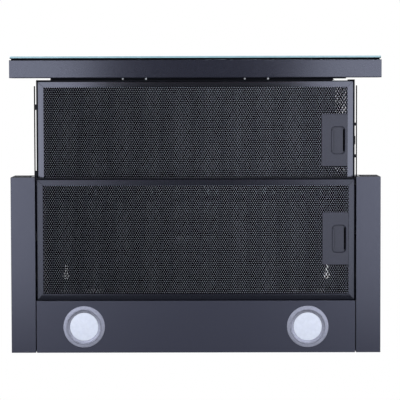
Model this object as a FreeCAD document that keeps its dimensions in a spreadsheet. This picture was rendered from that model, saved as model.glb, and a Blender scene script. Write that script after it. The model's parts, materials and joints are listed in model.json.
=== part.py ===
"""Pull out range hood, seen with its drawer pulled out.

The frame: +Z up, -Y towards the cook, +X to the cook's right. The origin is the centre of
the duct collar where it leaves the top panel. All lengths are in millimetres.
"""
import FreeCAD, Part
import os
from collections import namedtuple
from types import SimpleNamespace

import Sketcher

Vector = FreeCAD.Vector
doc = FreeCAD.newDocument("PullOutHood")

# Driving dimensions
DIMENSIONS = {
    # casing
    "hood_width": 600,
    "hood_depth": 286,
    "hood_height": 178,
    "chassis_width": 520,
    "flank_height": 60,
    "flank_lip": 15,
    "flank_gap": 0.5,
    "metal": 1,
    # rear light panel and its lamps
    "panel_width": 518,
    "panel_front": 58.2,
    "lamp_across": 181.8,
    "lamp_back": 100.5,
    "lamp_rim": 34,
    "lamp_lens": 23,
    "lamp_hole": 31,
    # grease filters
    "filter_width": 516,
    "filter_front": -139.5,
    "filter_depth": 196.7,
    "filter_thick": 9,
    "filter_rail": 10.4,
    "filter_base": -177,
    "pin_radius": 1.25,
    "pin_clearance": 0.07,
    "pin_inset": 3.5,
    "net_pitch": 21,
    "net_row": 16.2,
    "net_strand": 2.4,
    "core_pitch": 31,
    "core_row": 24.3,
    "core_strand": 3.6,
    # filter latch
    "latch_left": 206,
    "latch_front": -84.8,
    "latch_length": 84.6,
    "recess_left": 221.8,
    "recess_right": 243.7,
    "recess_front": -64.4,
    "recess_length": 44.4,
    "latch_travel": 6,
    "tongue_end": 261.3,
    # drawer
    "drawer_travel": 160,
    "drawer_shift": 159.2,
    "drawer_lift": 19.5,
    "drawer_half": 259.4,
    "drawer_wall": 1,
    "drawer_top": -123,
    "runner_inner": 263,
    "runner_thick": 1.2,
    "runner_low": -150,
    "runner_high": -141,
    # front bar
    "bar_width": 602,
    "bar_depth": 29,
    "bar_back": -303.9,
    "glass_thick": 4,
    "tape_thick": 2,
    "button_pitch": 22,
    "button_width": 18,
    "button_height": 9,
    "button_travel": 2.5,
    # blower
    "fan_back": 27,
    "fan_drop": 55.5,
    "fan_radius": 44,
    "blade_depth": 8,
    "fan_half": 48,
    "fan_blades": 30,
    "scroll_radius": 55,
    "scroll_back": 24,
    "scroll_drop": 60,
    "scroll_half": 55,
    "scroll_wall": 1.5,
    "shaft_radius": 4,
    "motor_radius": 26,
    # duct collar
    "collar_radius": 60,
    "collar_wall": 1.6,
    "collar_height": 30,
    "collar_flange": 72,
    "collar_foot": 60.2,
    "collar_hole": 61,
    "flap_level": 8,
    "flap_radius": 57.6,
    "flap_thick": 1.2,
    "flap_pin": 1.5,
    # keyholes in the top panel
    "keyhole_across": 227,
    "keyhole_back": 39,
    "keyhole_head": 6,
    "keyhole_slot": 2.5,
    "keyhole_run": 17,
}

Circle = namedtuple("Circle", "across up radius")
Rounded = namedtuple("Rounded", "left right low high radius")


class Size:
    """A length that keeps its number and the sheet formula that gives it."""

    def __init__(self, number, formula):
        self.number = number
        self.formula = formula

    def __add__(self, other):
        other = as_size(other)
        return Size(self.number + other.number, f"({self.formula} + {other.formula})")

    def __sub__(self, other):
        other = as_size(other)
        return Size(self.number - other.number, f"({self.formula} - {other.formula})")

    def __mul__(self, other):
        other = as_size(other)
        return Size(self.number * other.number, f"({self.formula} * {other.formula})")

    def __truediv__(self, other):
        other = as_size(other)
        return Size(self.number / other.number, f"({self.formula} / {other.formula})")

    def __neg__(self):
        return Size(-self.number, f"(-1 * {self.formula})")

    def __radd__(self, other):
        return as_size(other) + self

    def __rsub__(self, other):
        return as_size(other) - self

    def __rmul__(self, other):
        return as_size(other) * self


def as_size(value):
    """A plain number as a Size."""
    if isinstance(value, Size):
        return value
    return Size(float(value), f"{float(value):.4f}")


def ordered(pair):
    """Both ends of a span as Sizes, the lower one first."""
    return sorted((as_size(end) for end in pair), key=lambda end: end.number)


def make_sheet():
    """The spreadsheet of driving dimensions, and a Size for each of its cells."""
    sheet = doc.addObject("Spreadsheet::Sheet", "Dims")
    for row, (alias, number) in enumerate(DIMENSIONS.items(), start=1):
        sheet.set(f"A{row}", alias)
        sheet.set(f"B{row}", str(number))
        sheet.setAlias(f"B{row}", alias)
    doc.recompute()
    return SimpleNamespace(**{alias: Size(float(number), f"Dims.{alias}")
                              for alias, number in DIMENSIONS.items()})


dim = make_sheet()
pieces = []


# ---------------------------------------------------------------- small modelling helpers
def bind(target, prop, size):
    """Drives one property by its formula."""
    target.setExpression(prop, as_size(size).formula)


def block(x, y, z, name="Block"):
    """A box between three spans."""
    solid = doc.addObject("Part::Box", name)
    for span, length, place in ((x, "Length", "x"), (y, "Width", "y"), (z, "Height", "z")):
        low, high = ordered(span)
        bind(solid, length, high - low)
        bind(solid, "Placement.Base." + place, low)
    return solid


TURNS = {
    "X": FreeCAD.Rotation(Vector(0, 1, 0), 90),
    "Y": FreeCAD.Rotation(Vector(1, 0, 0), -90),
    "Z": FreeCAD.Rotation(),
}


def rod(radius, axis, at, span, name="Rod"):
    """A cylinder along one axis. The pair at gives its other two coordinates."""
    low, high = ordered(span)
    place = dict(zip([letter for letter in "XYZ" if letter != axis], at))
    place[axis] = low
    solid = doc.addObject("Part::Cylinder", name)
    solid.Placement = FreeCAD.Placement(Vector(), TURNS[axis])
    bind(solid, "Radius", radius)
    bind(solid, "Height", high - low)
    for letter in "XYZ":
        bind(solid, "Placement.Base." + letter.lower(), place[letter])
    return solid


def fused(*solids, name="Joined"):
    """Solids joined into one."""
    if len(solids) == 1:
        return solids[0]
    joined = doc.addObject("Part::MultiFuse", name)
    joined.Shapes = list(solids)
    joined.Refine = True
    return joined


def cut(base, *tools, name="Trimmed"):
    """The base without the tools."""
    trimmed = doc.addObject("Part::Cut", name)
    trimmed.Base = base
    trimmed.Tool = fused(*tools)
    return trimmed


def group(*solids, name="Group"):
    """Separate solids kept side by side."""
    together = doc.addObject("Part::Compound", name)
    together.Links = list(solids)
    return together


def along_edges(solid, axis):
    """The numbers of the solid's straight edges that run along one axis."""
    direction = Vector(*(float(letter == axis) for letter in "XYZ"))
    numbers = []
    for number, edge in enumerate(solid.Shape.Edges, start=1):
        ends = [vertex.Point for vertex in edge.Vertexes]
        if len(ends) == 2 and (ends[1] - ends[0]).normalize().dot(direction) ** 2 > 0.99:
            numbers.append(number)
    return numbers


def rounded_block(x, y, z, radius, axis="Z", name="RoundedBlock"):
    """A box whose four edges along one axis are rounded."""
    solid = block(x, y, z)
    doc.recompute()
    amount = as_size(radius).number
    smooth = doc.addObject("Part::Fillet", name)
    smooth.Base = solid
    smooth.Edges = [(number, amount, amount) for number in along_edges(solid, axis)]
    return smooth


def piece(name, shape):
    """Registers a finished sub-part under its own name."""
    shape.Label = name
    pieces.append(shape)
    return shape


# ---------------------------------------------------------------- sketched bodies
def pin_point(sketch, geometry, point, across, up):
    """Fixes one point of a sketch by its two distances from the sketch's origin."""
    for kind, size in (("DistanceX", as_size(across)), ("DistanceY", as_size(up))):
        rule = Sketcher.Constraint(kind, -1, 1, geometry, point, size.number)
        sketch.setExpression(f"Constraints[{sketch.addConstraint(rule)}]", size.formula)


def draw_circle(sketch, circle):
    across, up, radius = (as_size(size) for size in circle)
    centre = Vector(across.number, up.number, 0)
    index = sketch.addGeometry(Part.Circle(centre, Vector(0, 0, 1), radius.number))
    pin_point(sketch, index, 3, across, up)
    rule = sketch.addConstraint(Sketcher.Constraint("Radius", index, radius.number))
    sketch.setExpression(f"Constraints[{rule}]", radius.formula)


def draw_polygon(sketch, points):
    points = [(as_size(across), as_size(up)) for across, up in points]
    corners = [Vector(across.number, up.number, 0) for across, up in points]
    lines = [sketch.addGeometry(Part.LineSegment(start, end))
             for start, end in zip(corners, corners[1:] + corners[:1])]
    for line, following in zip(lines, lines[1:] + lines[:1]):
        sketch.addConstraint(Sketcher.Constraint("Coincident", line, 2, following, 1))
    for line, (across, up) in zip(lines, points):
        pin_point(sketch, line, 1, across, up)


def draw_rounded(sketch, loop):
    """A rectangle with round corners: four pinned lines joined by four tangent arcs."""
    left, right, low, high, radius = (as_size(size) for size in loop)
    sides = (
        ((left + radius, low), (right - radius, low)),
        ((right, low + radius), (right, high - radius)),
        ((right - radius, high), (left + radius, high)),
        ((left, high - radius), (left, low + radius)),
    )
    centres = ((right - radius, low + radius), (right - radius, high - radius),
               (left + radius, high - radius), (left + radius, low + radius))
    lines = []
    for ends in sides:
        start, end = (Vector(across.number, up.number, 0) for across, up in ends)
        lines.append(sketch.addGeometry(Part.LineSegment(start, end)))
        pin_point(sketch, lines[-1], 1, *ends[0])
        pin_point(sketch, lines[-1], 2, *ends[1])
    quarter = 1.5707963267948966
    for turn, (across, up) in enumerate(centres):
        circle = Part.Circle(Vector(across.number, up.number, 0), Vector(0, 0, 1), radius.number)
        arc = sketch.addGeometry(Part.ArcOfCircle(circle, (turn - 1) * quarter, turn * quarter))
        sketch.addConstraint(Sketcher.Constraint("Coincident", arc, 1, lines[turn], 2))
        sketch.addConstraint(Sketcher.Constraint("Coincident", arc, 2, lines[(turn + 1) % 4], 1))
        rule = sketch.addConstraint(Sketcher.Constraint("Radius", arc, radius.number))
        sketch.setExpression(f"Constraints[{rule}]", radius.formula)


def add_sketch(body, plane, loops, level):
    """A sketch on one of the body's own planes, moved along the plane's normal."""
    sketch = body.newObject("Sketcher::SketchObject", "Outline")
    support = [part for part in body.Origin.OriginFeatures if part.Role == plane + "_Plane"][0]
    sketch.AttachmentSupport = [(support, "")]
    sketch.MapMode = "FlatFace"
    bind(sketch, "AttachmentOffset.Base.z", level)
    for loop in loops:
        if isinstance(loop, Circle):
            draw_circle(sketch, loop)
        elif isinstance(loop, Rounded):
            draw_rounded(sketch, loop)
        else:
            draw_polygon(sketch, loop)
    return sketch


def start_level(plane, low, high):
    """Where a pad over a span begins. The XZ plane's normal points towards -Y."""
    return -high if plane == "XZ" else low


def new_body(name):
    return doc.addObject("PartDesign::Body", name)


def pad(body, plane, loops, span):
    """Adds the outline over a span along the plane's normal axis."""
    low, high = ordered(span)
    sketch = add_sketch(body, plane, loops, start_level(plane, low, high))
    feature = body.newObject("PartDesign::Pad", "Pad")
    feature.Profile = sketch
    bind(feature, "Length", high - low)
    doc.recompute()
    return feature


def pocket(body, plane, loops, span):
    """Removes the outline over a span, and makes sure that material went."""
    low, high = ordered(span)
    before = body.Shape.Volume
    sketch = add_sketch(body, plane, loops, start_level(plane, low, high))
    feature = body.newObject("PartDesign::Pocket", "Pocket")
    feature.Profile = sketch
    feature.Reversed = True
    bind(feature, "Length", high - low)
    doc.recompute()
    if body.Shape.Volume > before - 0.01:
        raise RuntimeError(f"{body.Name}: {feature.Name} removed nothing")
    return feature


def spin(body, plane, loop, axis):
    """Turns the outline once round one of the body's own axes."""
    sketch = add_sketch(body, plane, [loop], 0)
    line = [part for part in body.Origin.OriginFeatures if part.Role == axis + "_Axis"][0]
    feature = body.newObject("PartDesign::Revolution", "Revolution")
    feature.Profile = sketch
    feature.ReferenceAxis = (line, [""])
    feature.Angle = 360
    doc.recompute()
    return feature


def rectangle(across, up):
    """The four corners of a rectangle between two spans."""
    left, right = ordered(across)
    low, high = ordered(up)
    return [(left, low), (right, low), (right, high), (left, high)]


# ---------------------------------------------------------------- shared places
SIDES = (("left", -1), ("right", 1))
half_width = dim.hood_width / 2
half_depth = dim.hood_depth / 2
chassis_half = dim.chassis_width / 2
panel_half = dim.panel_width / 2
base = -dim.hood_height
shoulder = dim.flank_height - dim.hood_height
lip_inner = chassis_half + dim.flank_gap
lip_top = base + dim.flank_lip
inside_front = -half_depth + dim.metal
inside_back = half_depth - dim.metal
bar_front = dim.bar_back - dim.bar_depth
glass_front = bar_front - dim.tape_thick - dim.glass_thick
filter_top = dim.filter_base + dim.filter_thick
filter_back = dim.filter_front + dim.filter_depth
filter_half = dim.filter_width / 2
pin_across = dim.pin_inset - filter_half
pin_level = dim.filter_base + dim.filter_thick / 2
pin_hole = dim.pin_radius + dim.pin_clearance
fan_level = -dim.fan_drop
SCREW_SHANK = 1.5
SCREW_HEAD = 3.2
SCREW_HEAD_HIGH = 1.6
SCREW_LENGTH = 9
SCREW_PLAY = 0.1
SIDE_SCREWS = [(depth, level) for depth in (-136, 136) for level in (-100, -20)]
SIDE_SCREW_LAP = 12
CABINET_HOLES = [(-90, -60), (90, -60)]
CABINET_HOLE = 2.5
COLLAR_SCREWS = [(across, back) for across in (-62, 62) for back in (-22, 22)]
FLANGE_LOW = -3
GLAND = (185, 90)
GLAND_RADIUS = 8
BAR_SCREWS = (-119, -81, 81, 119)
BUTTONS = (-1.5, -0.5, 0.5, 1.5)
BUTTON_LEVEL = -146


def screw(axis, at, head_face, outward):
    """A pan-head screw: its head stands on a face, and its shank goes in behind it."""
    head = rod(SCREW_HEAD, axis, at, (head_face, head_face + outward * SCREW_HEAD_HIGH))
    shank = rod(SCREW_SHANK, axis, at, (head_face, head_face - outward * SCREW_LENGTH))
    return fused(head, shank)


# ---------------------------------------------------------------- casing
def make_chassis_wrap():
    """Top panel and both side walls, folded from one sheet. The flanks hang on the walls."""
    body = new_body("ChassisWrap")
    inner = chassis_half - dim.metal
    foot = shoulder - dim.metal
    profile = [
        (-chassis_half, foot), (-inner, foot), (-inner, -dim.metal),
        (inner, -dim.metal), (inner, foot), (chassis_half, foot),
        (chassis_half, 0), (-chassis_half, 0),
    ]
    pad(body, "XZ", [profile], (inside_front, inside_back))
    through = (-dim.metal - 1, 1)
    holes = [Circle(0, 0, dim.collar_hole), Circle(*GLAND, GLAND_RADIUS + SCREW_PLAY)]
    holes += [Circle(across, back, SCREW_SHANK + SCREW_PLAY) for across, back in COLLAR_SCREWS]
    slot_back = dim.keyhole_back - dim.keyhole_run
    for _, sign in SIDES:
        holes.append(Circle(sign * dim.keyhole_across, dim.keyhole_back, dim.keyhole_head))
    pocket(body, "XY", holes, through)
    for _, sign in SIDES:
        middle = sign * dim.keyhole_across
        slot = rectangle((middle - dim.keyhole_slot, middle + dim.keyhole_slot),
                         (slot_back, dim.keyhole_back))
        pocket(body, "XY", [slot], through)
        pocket(body, "XY", [Circle(middle, slot_back, dim.keyhole_slot)], through)
    side_holes = [Circle(depth, level, SCREW_SHANK + SCREW_PLAY) for depth, level in SIDE_SCREWS]
    side_holes += [Circle(depth, level, CABINET_HOLE) for depth, level in CABINET_HOLES]
    pocket(body, "YZ", side_holes, (-chassis_half - 1, chassis_half + 1))
    return piece("chassis_wrap", body)


def make_end_panel(name, wall, lap, is_front):
    """Front or rear panel between the side walls, with a return flange at each side."""
    body = new_body(name.title().replace("_", ""))
    pad(body, "XZ", [rectangle((-chassis_half, chassis_half), (shoulder, 0))], wall)
    inner = chassis_half - dim.metal
    for _, sign in SIDES:
        flange = rectangle((sign * (inner - dim.metal), sign * inner), (shoulder, -dim.metal))
        pad(body, "XZ", [flange], lap)
    holes = [Circle(depth, level, SCREW_SHANK + SCREW_PLAY) for depth, level in SIDE_SCREWS
             if (depth < 0) == is_front]
    pocket(body, "YZ", holes, (-chassis_half - 1, chassis_half + 1))
    return piece(name, body)


def make_end_panels():
    make_end_panel("front_panel", (-half_depth, inside_front),
                   (inside_front, inside_front + SIDE_SCREW_LAP), True)
    make_end_panel("rear_panel", (inside_back, half_depth),
                   (inside_back - SIDE_SCREW_LAP, inside_back), False)


def make_casing_screws():
    """Eight screws into the end panels' flanges, and four down through the duct collar."""
    screws = [screw("X", at, sign * chassis_half, sign) for _, sign in SIDES for at in SIDE_SCREWS]
    screws += [screw("Z", at, 0, 1) for at in COLLAR_SCREWS]
    return piece("casing_screws", group(*screws, name="CasingScrews"))


MOUTH_ROOM = 9
DIMPLE_IN = 20
DIMPLE_RADIUS = 2
TONGUE_SLOT = 9.5
RAIL_LIFT = 3
RAIL_TOP = 13
RAIL_SPAN = (-141.3, -139.9)
GUIDE_OUT = 270
GUIDE_IN = 261.7
GUIDE_LOW = -156
GUIDE_TOP = -124
GUIDE_LENGTH = 14
GUIDE_PLAY = 0.3
REAR_GUIDE = -50


def make_flank(side, sign):
    """A folded channel that widens the hood below the cabinet, open towards the drawer."""
    body = new_body(side.title() + "Flank")
    outer = sign * half_width
    outer_in = sign * (half_width - dim.metal)
    lip = sign * lip_inner
    lip_out = sign * (lip_inner + dim.metal)
    top_end = sign * chassis_half
    profile = [
        (lip, base), (outer, base), (outer, shoulder), (top_end, shoulder),
        (top_end, shoulder - dim.metal), (outer_in, shoulder - dim.metal),
        (outer_in, base + dim.metal), (lip_out, base + dim.metal), (lip_out, lip_top),
        (lip, lip_top),
    ]
    pad(body, "XZ", [profile], (-half_depth, half_depth))
    mouth = sign * (dim.runner_inner + MOUTH_ROOM)
    front = [(lip_out, base + dim.metal), (outer_in, base + dim.metal),
             (outer_in, shoulder - dim.metal), (mouth, shoulder - dim.metal),
             (mouth, lip_top), (lip_out, lip_top)]
    pad(body, "XZ", [front], (-half_depth, inside_front))
    back = rectangle((lip_out, outer_in), (base + dim.metal, shoulder - dim.metal))
    pad(body, "XZ", [back], (inside_back, half_depth))
    dimple = Circle(sign * (half_width - DIMPLE_IN), (base + shoulder) / 2, DIMPLE_RADIUS)
    pocket(body, "XZ", [dimple], (-half_depth, inside_front))
    if sign > 0:
        middle = latch_middle(0)
        slot = rectangle((middle - TONGUE_SLOT, middle + TONGUE_SLOT),
                         (dim.filter_base + SLIDE_LOW - 0.6, filter_top))
        pocket(body, "YZ", [slot], (lip_inner - 1, lip_inner + dim.metal + 0.5))
    return piece(side + "_flank", body)


def make_light_panel():
    """Rear strip with two lamp holes, a front lip, an upright back and two side ears."""
    body = new_body("LightPanel")
    front = dim.panel_front
    lip_back = front + dim.metal
    profile = [
        (front, base), (half_depth, base), (half_depth, shoulder), (inside_back, shoulder),
        (inside_back, base + dim.metal), (lip_back, base + dim.metal), (lip_back, lip_top),
        (front, lip_top),
    ]
    pad(body, "YZ", [profile], (-panel_half, panel_half))
    for _, sign in SIDES:
        ear = [
            (sign * panel_half, base + dim.metal), (sign * panel_half, lip_top),
            (sign * (lip_inner + dim.metal), lip_top),
            (sign * (lip_inner + dim.metal), lip_top + dim.metal),
            (sign * (panel_half - dim.metal), lip_top + dim.metal),
            (sign * (panel_half - dim.metal), base + dim.metal),
        ]
        pad(body, "XZ", [ear], (lip_back, inside_back))
    lamps = [Circle(sign * dim.lamp_across, dim.lamp_back, dim.lamp_hole) for _, sign in SIDES]
    pocket(body, "XY", lamps, (base - 1, base + dim.metal + 0.5))
    pocket(body, "XZ", [Circle(pin_across, pin_level, pin_hole)], (front - 0.5, lip_back + 0.5))
    return piece("light_panel", body)


def make_front_rail():
    """Thin bar across the front between the flanks' lips. It carries the rear filter's front
    pin, and stands back from the underside, so hardly any of it shows from below."""
    body = new_body("FrontRail")
    outline = rectangle((-lip_inner, lip_inner), (base + RAIL_LIFT, base + RAIL_TOP))
    pad(body, "XZ", [outline, Circle(pin_across, pin_level, pin_hole)], RAIL_SPAN)
    return piece("front_rail", body)


def make_slide_guides():
    """Four nylon blocks, two in each flank, that hold the runners from three sides."""
    blocks = []
    for _, sign in SIDES:
        web_in = dim.runner_inner + dim.runner_thick + GUIDE_PLAY
        jaws = (sign * GUIDE_IN, sign * GUIDE_OUT)
        for front in (inside_front, REAR_GUIDE):
            depth = (front, front + GUIDE_LENGTH)
            web = block((sign * web_in, sign * GUIDE_OUT), depth, (GUIDE_LOW, shoulder - dim.metal))
            top = block(jaws, depth, (dim.runner_high + GUIDE_PLAY, GUIDE_TOP))
            low = block(jaws, depth, (GUIDE_LOW, dim.runner_low - GUIDE_PLAY))
            blocks.append(fused(web, top, low))
    return piece("slide_guides", group(*blocks, name="SlideGuides"))


# ---------------------------------------------------------------- LED lamps
LENS_STEP = 3
LENS_TOP = 4.5
NECK_TOP = 14
CAP_TOP = 18
LAMP_PLAY = 0.4
FIN_LEVELS = (20.5, 25.5, 30.5)
FIN_RADIUS = 27
FIN_THICK = 2.5
STEM_RADIUS = 16


def make_lamp(side, sign):
    """A round recessed lamp: bezel, domed milky lens and finned body."""
    at = (sign * dim.lamp_across, dim.lamp_back)
    bezel = new_body(side.title() + "LampBezel")
    rim = dim.lamp_rim
    spin(bezel, "XZ", [
        (dim.lamp_lens, -0.6), (dim.lamp_lens + 2, -1.0), (rim - 6, -1.3), (rim - 2.5, -2.0),
        (rim - 0.8, -2.0), (rim, -1.0), (rim, 0), (dim.lamp_hole - LAMP_PLAY, 0),
        (dim.lamp_hole - LAMP_PLAY, NECK_TOP), (dim.lamp_hole - 2, NECK_TOP),
        (dim.lamp_hole - 2, LENS_STEP), (dim.lamp_lens, LENS_STEP),
    ], "Z")
    lens = new_body(side.title() + "LampLens")
    spin(lens, "XZ", [
        (0, -1.4), (dim.lamp_lens * 0.5, -1.15), (dim.lamp_lens - 0.1, -0.5),
        (dim.lamp_lens - 0.1, LENS_STEP), (dim.lamp_lens + 3, LENS_STEP),
        (dim.lamp_lens + 3, LENS_TOP), (0, LENS_TOP),
    ], "Z")
    core = rod(dim.lamp_lens + 3, "Z", at, (base + LENS_TOP, base + NECK_TOP))
    cap = rod(dim.lamp_hole - LAMP_PLAY, "Z", at, (base + NECK_TOP, base + CAP_TOP))
    fins = [rod(FIN_RADIUS, "Z", at, (base + low, base + low + FIN_THICK)) for low in FIN_LEVELS]
    stem = rod(STEM_RADIUS, "Z", at, (base + CAP_TOP, base + FIN_LEVELS[-1] + FIN_THICK))
    housing = fused(core, cap, stem, *fins, name=side.title() + "LampBody")
    for turned in (bezel, lens):
        bind(turned, "Placement.Base.x", at[0])
        bind(turned, "Placement.Base.y", at[1])
        bind(turned, "Placement.Base.z", base)
    piece(side + "_lamp_bezel", bezel)
    piece(side + "_lamp_lens", lens)
    piece(side + "_lamp_body", housing)


def make_lamp_clips():
    """Two bent leaf springs on each lamp, which grip the panel from above."""
    clips = []
    for _, sign in SIDES:
        for hand in (-1, 1):
            centre = sign * dim.lamp_across
            near = centre + hand * (dim.lamp_hole - LAMP_PLAY)
            far = centre + hand * (dim.lamp_hole + 12)
            across = (dim.lamp_back - 5, dim.lamp_back + 5)
            foot = base + dim.metal
            clip = new_body("LampClip")
            pad(clip, "XZ", [[
                (near, base + 10), (near, base + 9.2), (far - hand * 3, foot),
                (far, foot), (far, foot + 0.8), (far - hand * 2.6, foot + 0.8),
            ]], across)
            clips.append(clip)
    return piece("lamp_clips", group(*clips, name="LampClips"))


# ---------------------------------------------------------------- grease filters
TONGUE_WAY = 8
SLIDE_LOW = 6.0
TONGUE_HIGH = 8.4
RECESS_FLOOR = 5.6
DRAIN_WIDE = 2.8
DRAIN_INSET = 4
DRAIN_ROUND = 1.3
RECESS_ROUND = 6
GRIP_THICK = 3
GRIP_PLAY = 0.2
STEM_HALF = 6.6
TONGUE_HALF = 7
PLATE_PROUD = 0.6
FACE_TOP = 1.6
CORE_TOP = 5.6
SHEET_PLAY = 0.2
PIN_FRONT = 1.7
PIN_BACK = 1.8
SPRING_FOOT = 207.6
SLIDE_END = 219.0
SPRING_TURNS = 8
SPRING_RADIUS = 0.85
SPRING_WIRE = 0.16


def rhomb(x, y, reach_x, reach_y, level):
    """The closed outline of one diamond gap."""
    corners = [Vector(x - reach_x, y, level), Vector(x, y - reach_y, level),
               Vector(x + reach_x, y, level), Vector(x, y + reach_y, level)]
    return Part.makePolygon(corners + corners[:1])


def net_sheet(across, back, levels, pitch, row, strand):
    """A rectangular sheet with staggered diamond gaps."""
    left, right = (end.number for end in ordered(across))
    front, rear = (end.number for end in ordered(back))
    low, high = (end.number for end in ordered(levels))
    columns = max(1, round((right - left) / pitch.number - 0.5))
    rows = max(2, round((rear - front) / row.number))
    step_x = (right - left) / (columns + 0.5)
    step_y = (rear - front) / rows
    reach_x = (step_x - strand.number) / 2
    reach_y = step_y - strand.number
    corners = [Vector(left, front, low), Vector(right, front, low),
               Vector(right, rear, low), Vector(left, rear, low)]
    wires = [Part.makePolygon(corners + corners[:1])]
    for line in range(1, rows):
        for column in range(columns):
            x = left + step_x * (column + 0.5 + 0.5 * (line % 2))
            wires.append(rhomb(x, front + step_y * line, reach_x, reach_y, low))
    net = doc.addObject("Part::Feature", "Net")
    net.Shape = Part.Face(wires, "Part::FaceMakerBullseye").extrude(Vector(0, 0, high - low))
    return net


def sheets_round_latch(name, across, back, notch, *rest):
    """Three sheets that butt together beside, before and behind the latch plate."""
    notch_left, notch_front, notch_rear = notch
    return group(net_sheet((across[0], notch_left), back, *rest),
                 net_sheet((notch_left, across[1]), (back[0], notch_front), *rest),
                 net_sheet((notch_left, across[1]), (notch_rear, back[1]), *rest), name=name)


def latch_middle(shift):
    """Where the latch's middle line lies from front to back."""
    return dim.recess_front + dim.recess_length / 2 - shift


def make_filter_frame(prefix, shift, lift):
    """A channel folded round the cassette, with a hinge pin at each end of its left rail."""
    front = dim.filter_front - shift
    back = filter_back - shift
    low = dim.filter_base + lift
    high = filter_top + lift
    window_half = filter_half - dim.filter_rail
    groove_half = filter_half - dim.metal
    middle = latch_middle(shift)
    body = block((-filter_half, filter_half), (front, back), (low, high))
    window = block((-window_half, window_half),
                   (front + dim.filter_rail, back - dim.filter_rail), (low - 1, high + 1))
    groove = block((-groove_half, groove_half), (front + dim.metal, back - dim.metal),
                   (low + dim.metal, high - dim.metal))
    tongue_way = block((window_half - 2, filter_half + 1), (middle - TONGUE_WAY, middle + TONGUE_WAY),
                       (low + SLIDE_LOW, low + TONGUE_HIGH))
    frame = cut(body, window, groove, tongue_way)
    pins = [rod(dim.pin_radius, "Y", (pin_across, pin_level + lift), span)
            for span in ((front - PIN_FRONT, front + dim.metal), (back - dim.metal, back + PIN_BACK))]
    return piece(prefix + "_filter_frame", fused(frame, *pins, name=prefix.title() + "FilterFrame"))


def make_filter_sheets(prefix, shift, lift):
    """The expanded-metal face and the coarser core behind it."""
    half = filter_half - dim.metal - SHEET_PLAY
    depth = (dim.filter_front - shift + dim.metal + SHEET_PLAY,
             filter_back - shift - dim.metal - SHEET_PLAY)
    low = dim.filter_base + lift
    notch = (dim.latch_left - SHEET_PLAY, dim.latch_front - shift - SHEET_PLAY,
             dim.latch_front + dim.latch_length - shift + SHEET_PLAY)
    face = sheets_round_latch(prefix.title() + "FilterFace", (-half, half), depth, notch,
                              (low + dim.metal, low + FACE_TOP),
                              dim.net_pitch, dim.net_row, dim.net_strand)
    core = sheets_round_latch(prefix.title() + "FilterCore", (-half, half), depth, notch,
                              (low + FACE_TOP, low + CORE_TOP),
                              dim.core_pitch, dim.core_row, dim.core_strand)
    piece(prefix + "_filter_face", face)
    piece(prefix + "_filter_core", core)


def make_latch_plate(prefix, shift, lift):
    """A tray with the finger recess, an open slot along the recess's right wall, and the way
    above its floor in which the slide runs."""
    low = dim.filter_base + lift
    right = filter_half - dim.filter_rail - SHEET_PLAY
    front = dim.latch_front - shift
    recess = (dim.recess_front - shift, dim.recess_front + dim.recess_length - shift)
    middle = latch_middle(shift)
    plate = new_body(prefix.title() + "LatchPlate")
    pad(plate, "XY", [Rounded(dim.latch_left, right, front, front + dim.latch_length, 1.5)],
        (low - PLATE_PROUD, filter_top + lift))
    pocket(plate, "XY", [Rounded(dim.recess_left, dim.recess_right, *recess, RECESS_ROUND)],
           (low - 1, low + RECESS_FLOOR))
    drawn_left = dim.recess_left - dim.latch_travel
    behind_grip = rectangle((drawn_left - GRIP_PLAY, dim.recess_left + GRIP_THICK + 1),
                            (recess[0] + RECESS_ROUND, recess[1] - RECESS_ROUND))
    pocket(plate, "XY", [behind_grip], (low + PLATE_PROUD, low + RECESS_FLOOR))
    stem_slot = rectangle((drawn_left - GRIP_PLAY, dim.recess_left + GRIP_THICK + 2 * GRIP_PLAY),
                          (middle - STEM_HALF - GRIP_PLAY, middle + STEM_HALF + GRIP_PLAY))
    pocket(plate, "XY", [stem_slot], (low + RECESS_FLOOR - 0.2, low + SLIDE_LOW + 0.2))
    slide_way = rectangle((SPRING_FOOT, right + 1), (middle - TONGUE_HALF - GRIP_PLAY,
                                                     middle + TONGUE_HALF + GRIP_PLAY))
    pocket(plate, "XY", [slide_way], (low + SLIDE_LOW, low + TONGUE_HIGH))
    drain = Rounded(dim.recess_right - DRAIN_WIDE, dim.recess_right,
                    recess[0] + DRAIN_INSET, recess[1] - DRAIN_INSET, DRAIN_ROUND)
    pocket(plate, "XY", [drain], (low + RECESS_FLOOR - 0.5, filter_top + lift + 1))
    return piece(prefix + "_latch_plate", plate)


def make_latch_slide(prefix, shift, lift):
    """The finger grip and the tongue that it draws out of the hole beside the filter."""
    low = dim.filter_base + lift
    middle = latch_middle(shift)
    grip_left = dim.recess_left + GRIP_PLAY
    grip_span = (grip_left, grip_left + GRIP_THICK)
    grip_half = dim.recess_length / 2 - RECESS_ROUND - 2 * GRIP_PLAY
    grip = block(grip_span, (middle - grip_half, middle + grip_half),
                 (low + PLATE_PROUD + GRIP_PLAY, low + RECESS_FLOOR - 0.1))
    stem = block(grip_span, (middle - STEM_HALF, middle + STEM_HALF),
                 (low + RECESS_FLOOR - 0.1, low + SLIDE_LOW + 0.1))
    strip = block((SLIDE_END, dim.tongue_end), (middle - TONGUE_HALF, middle + TONGUE_HALF),
                  (low + SLIDE_LOW + 0.1, low + TONGUE_HIGH - 0.3))
    return piece(prefix + "_latch_slide", fused(grip, stem, strip,
                                                name=prefix.title() + "LatchSlide"))


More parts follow.
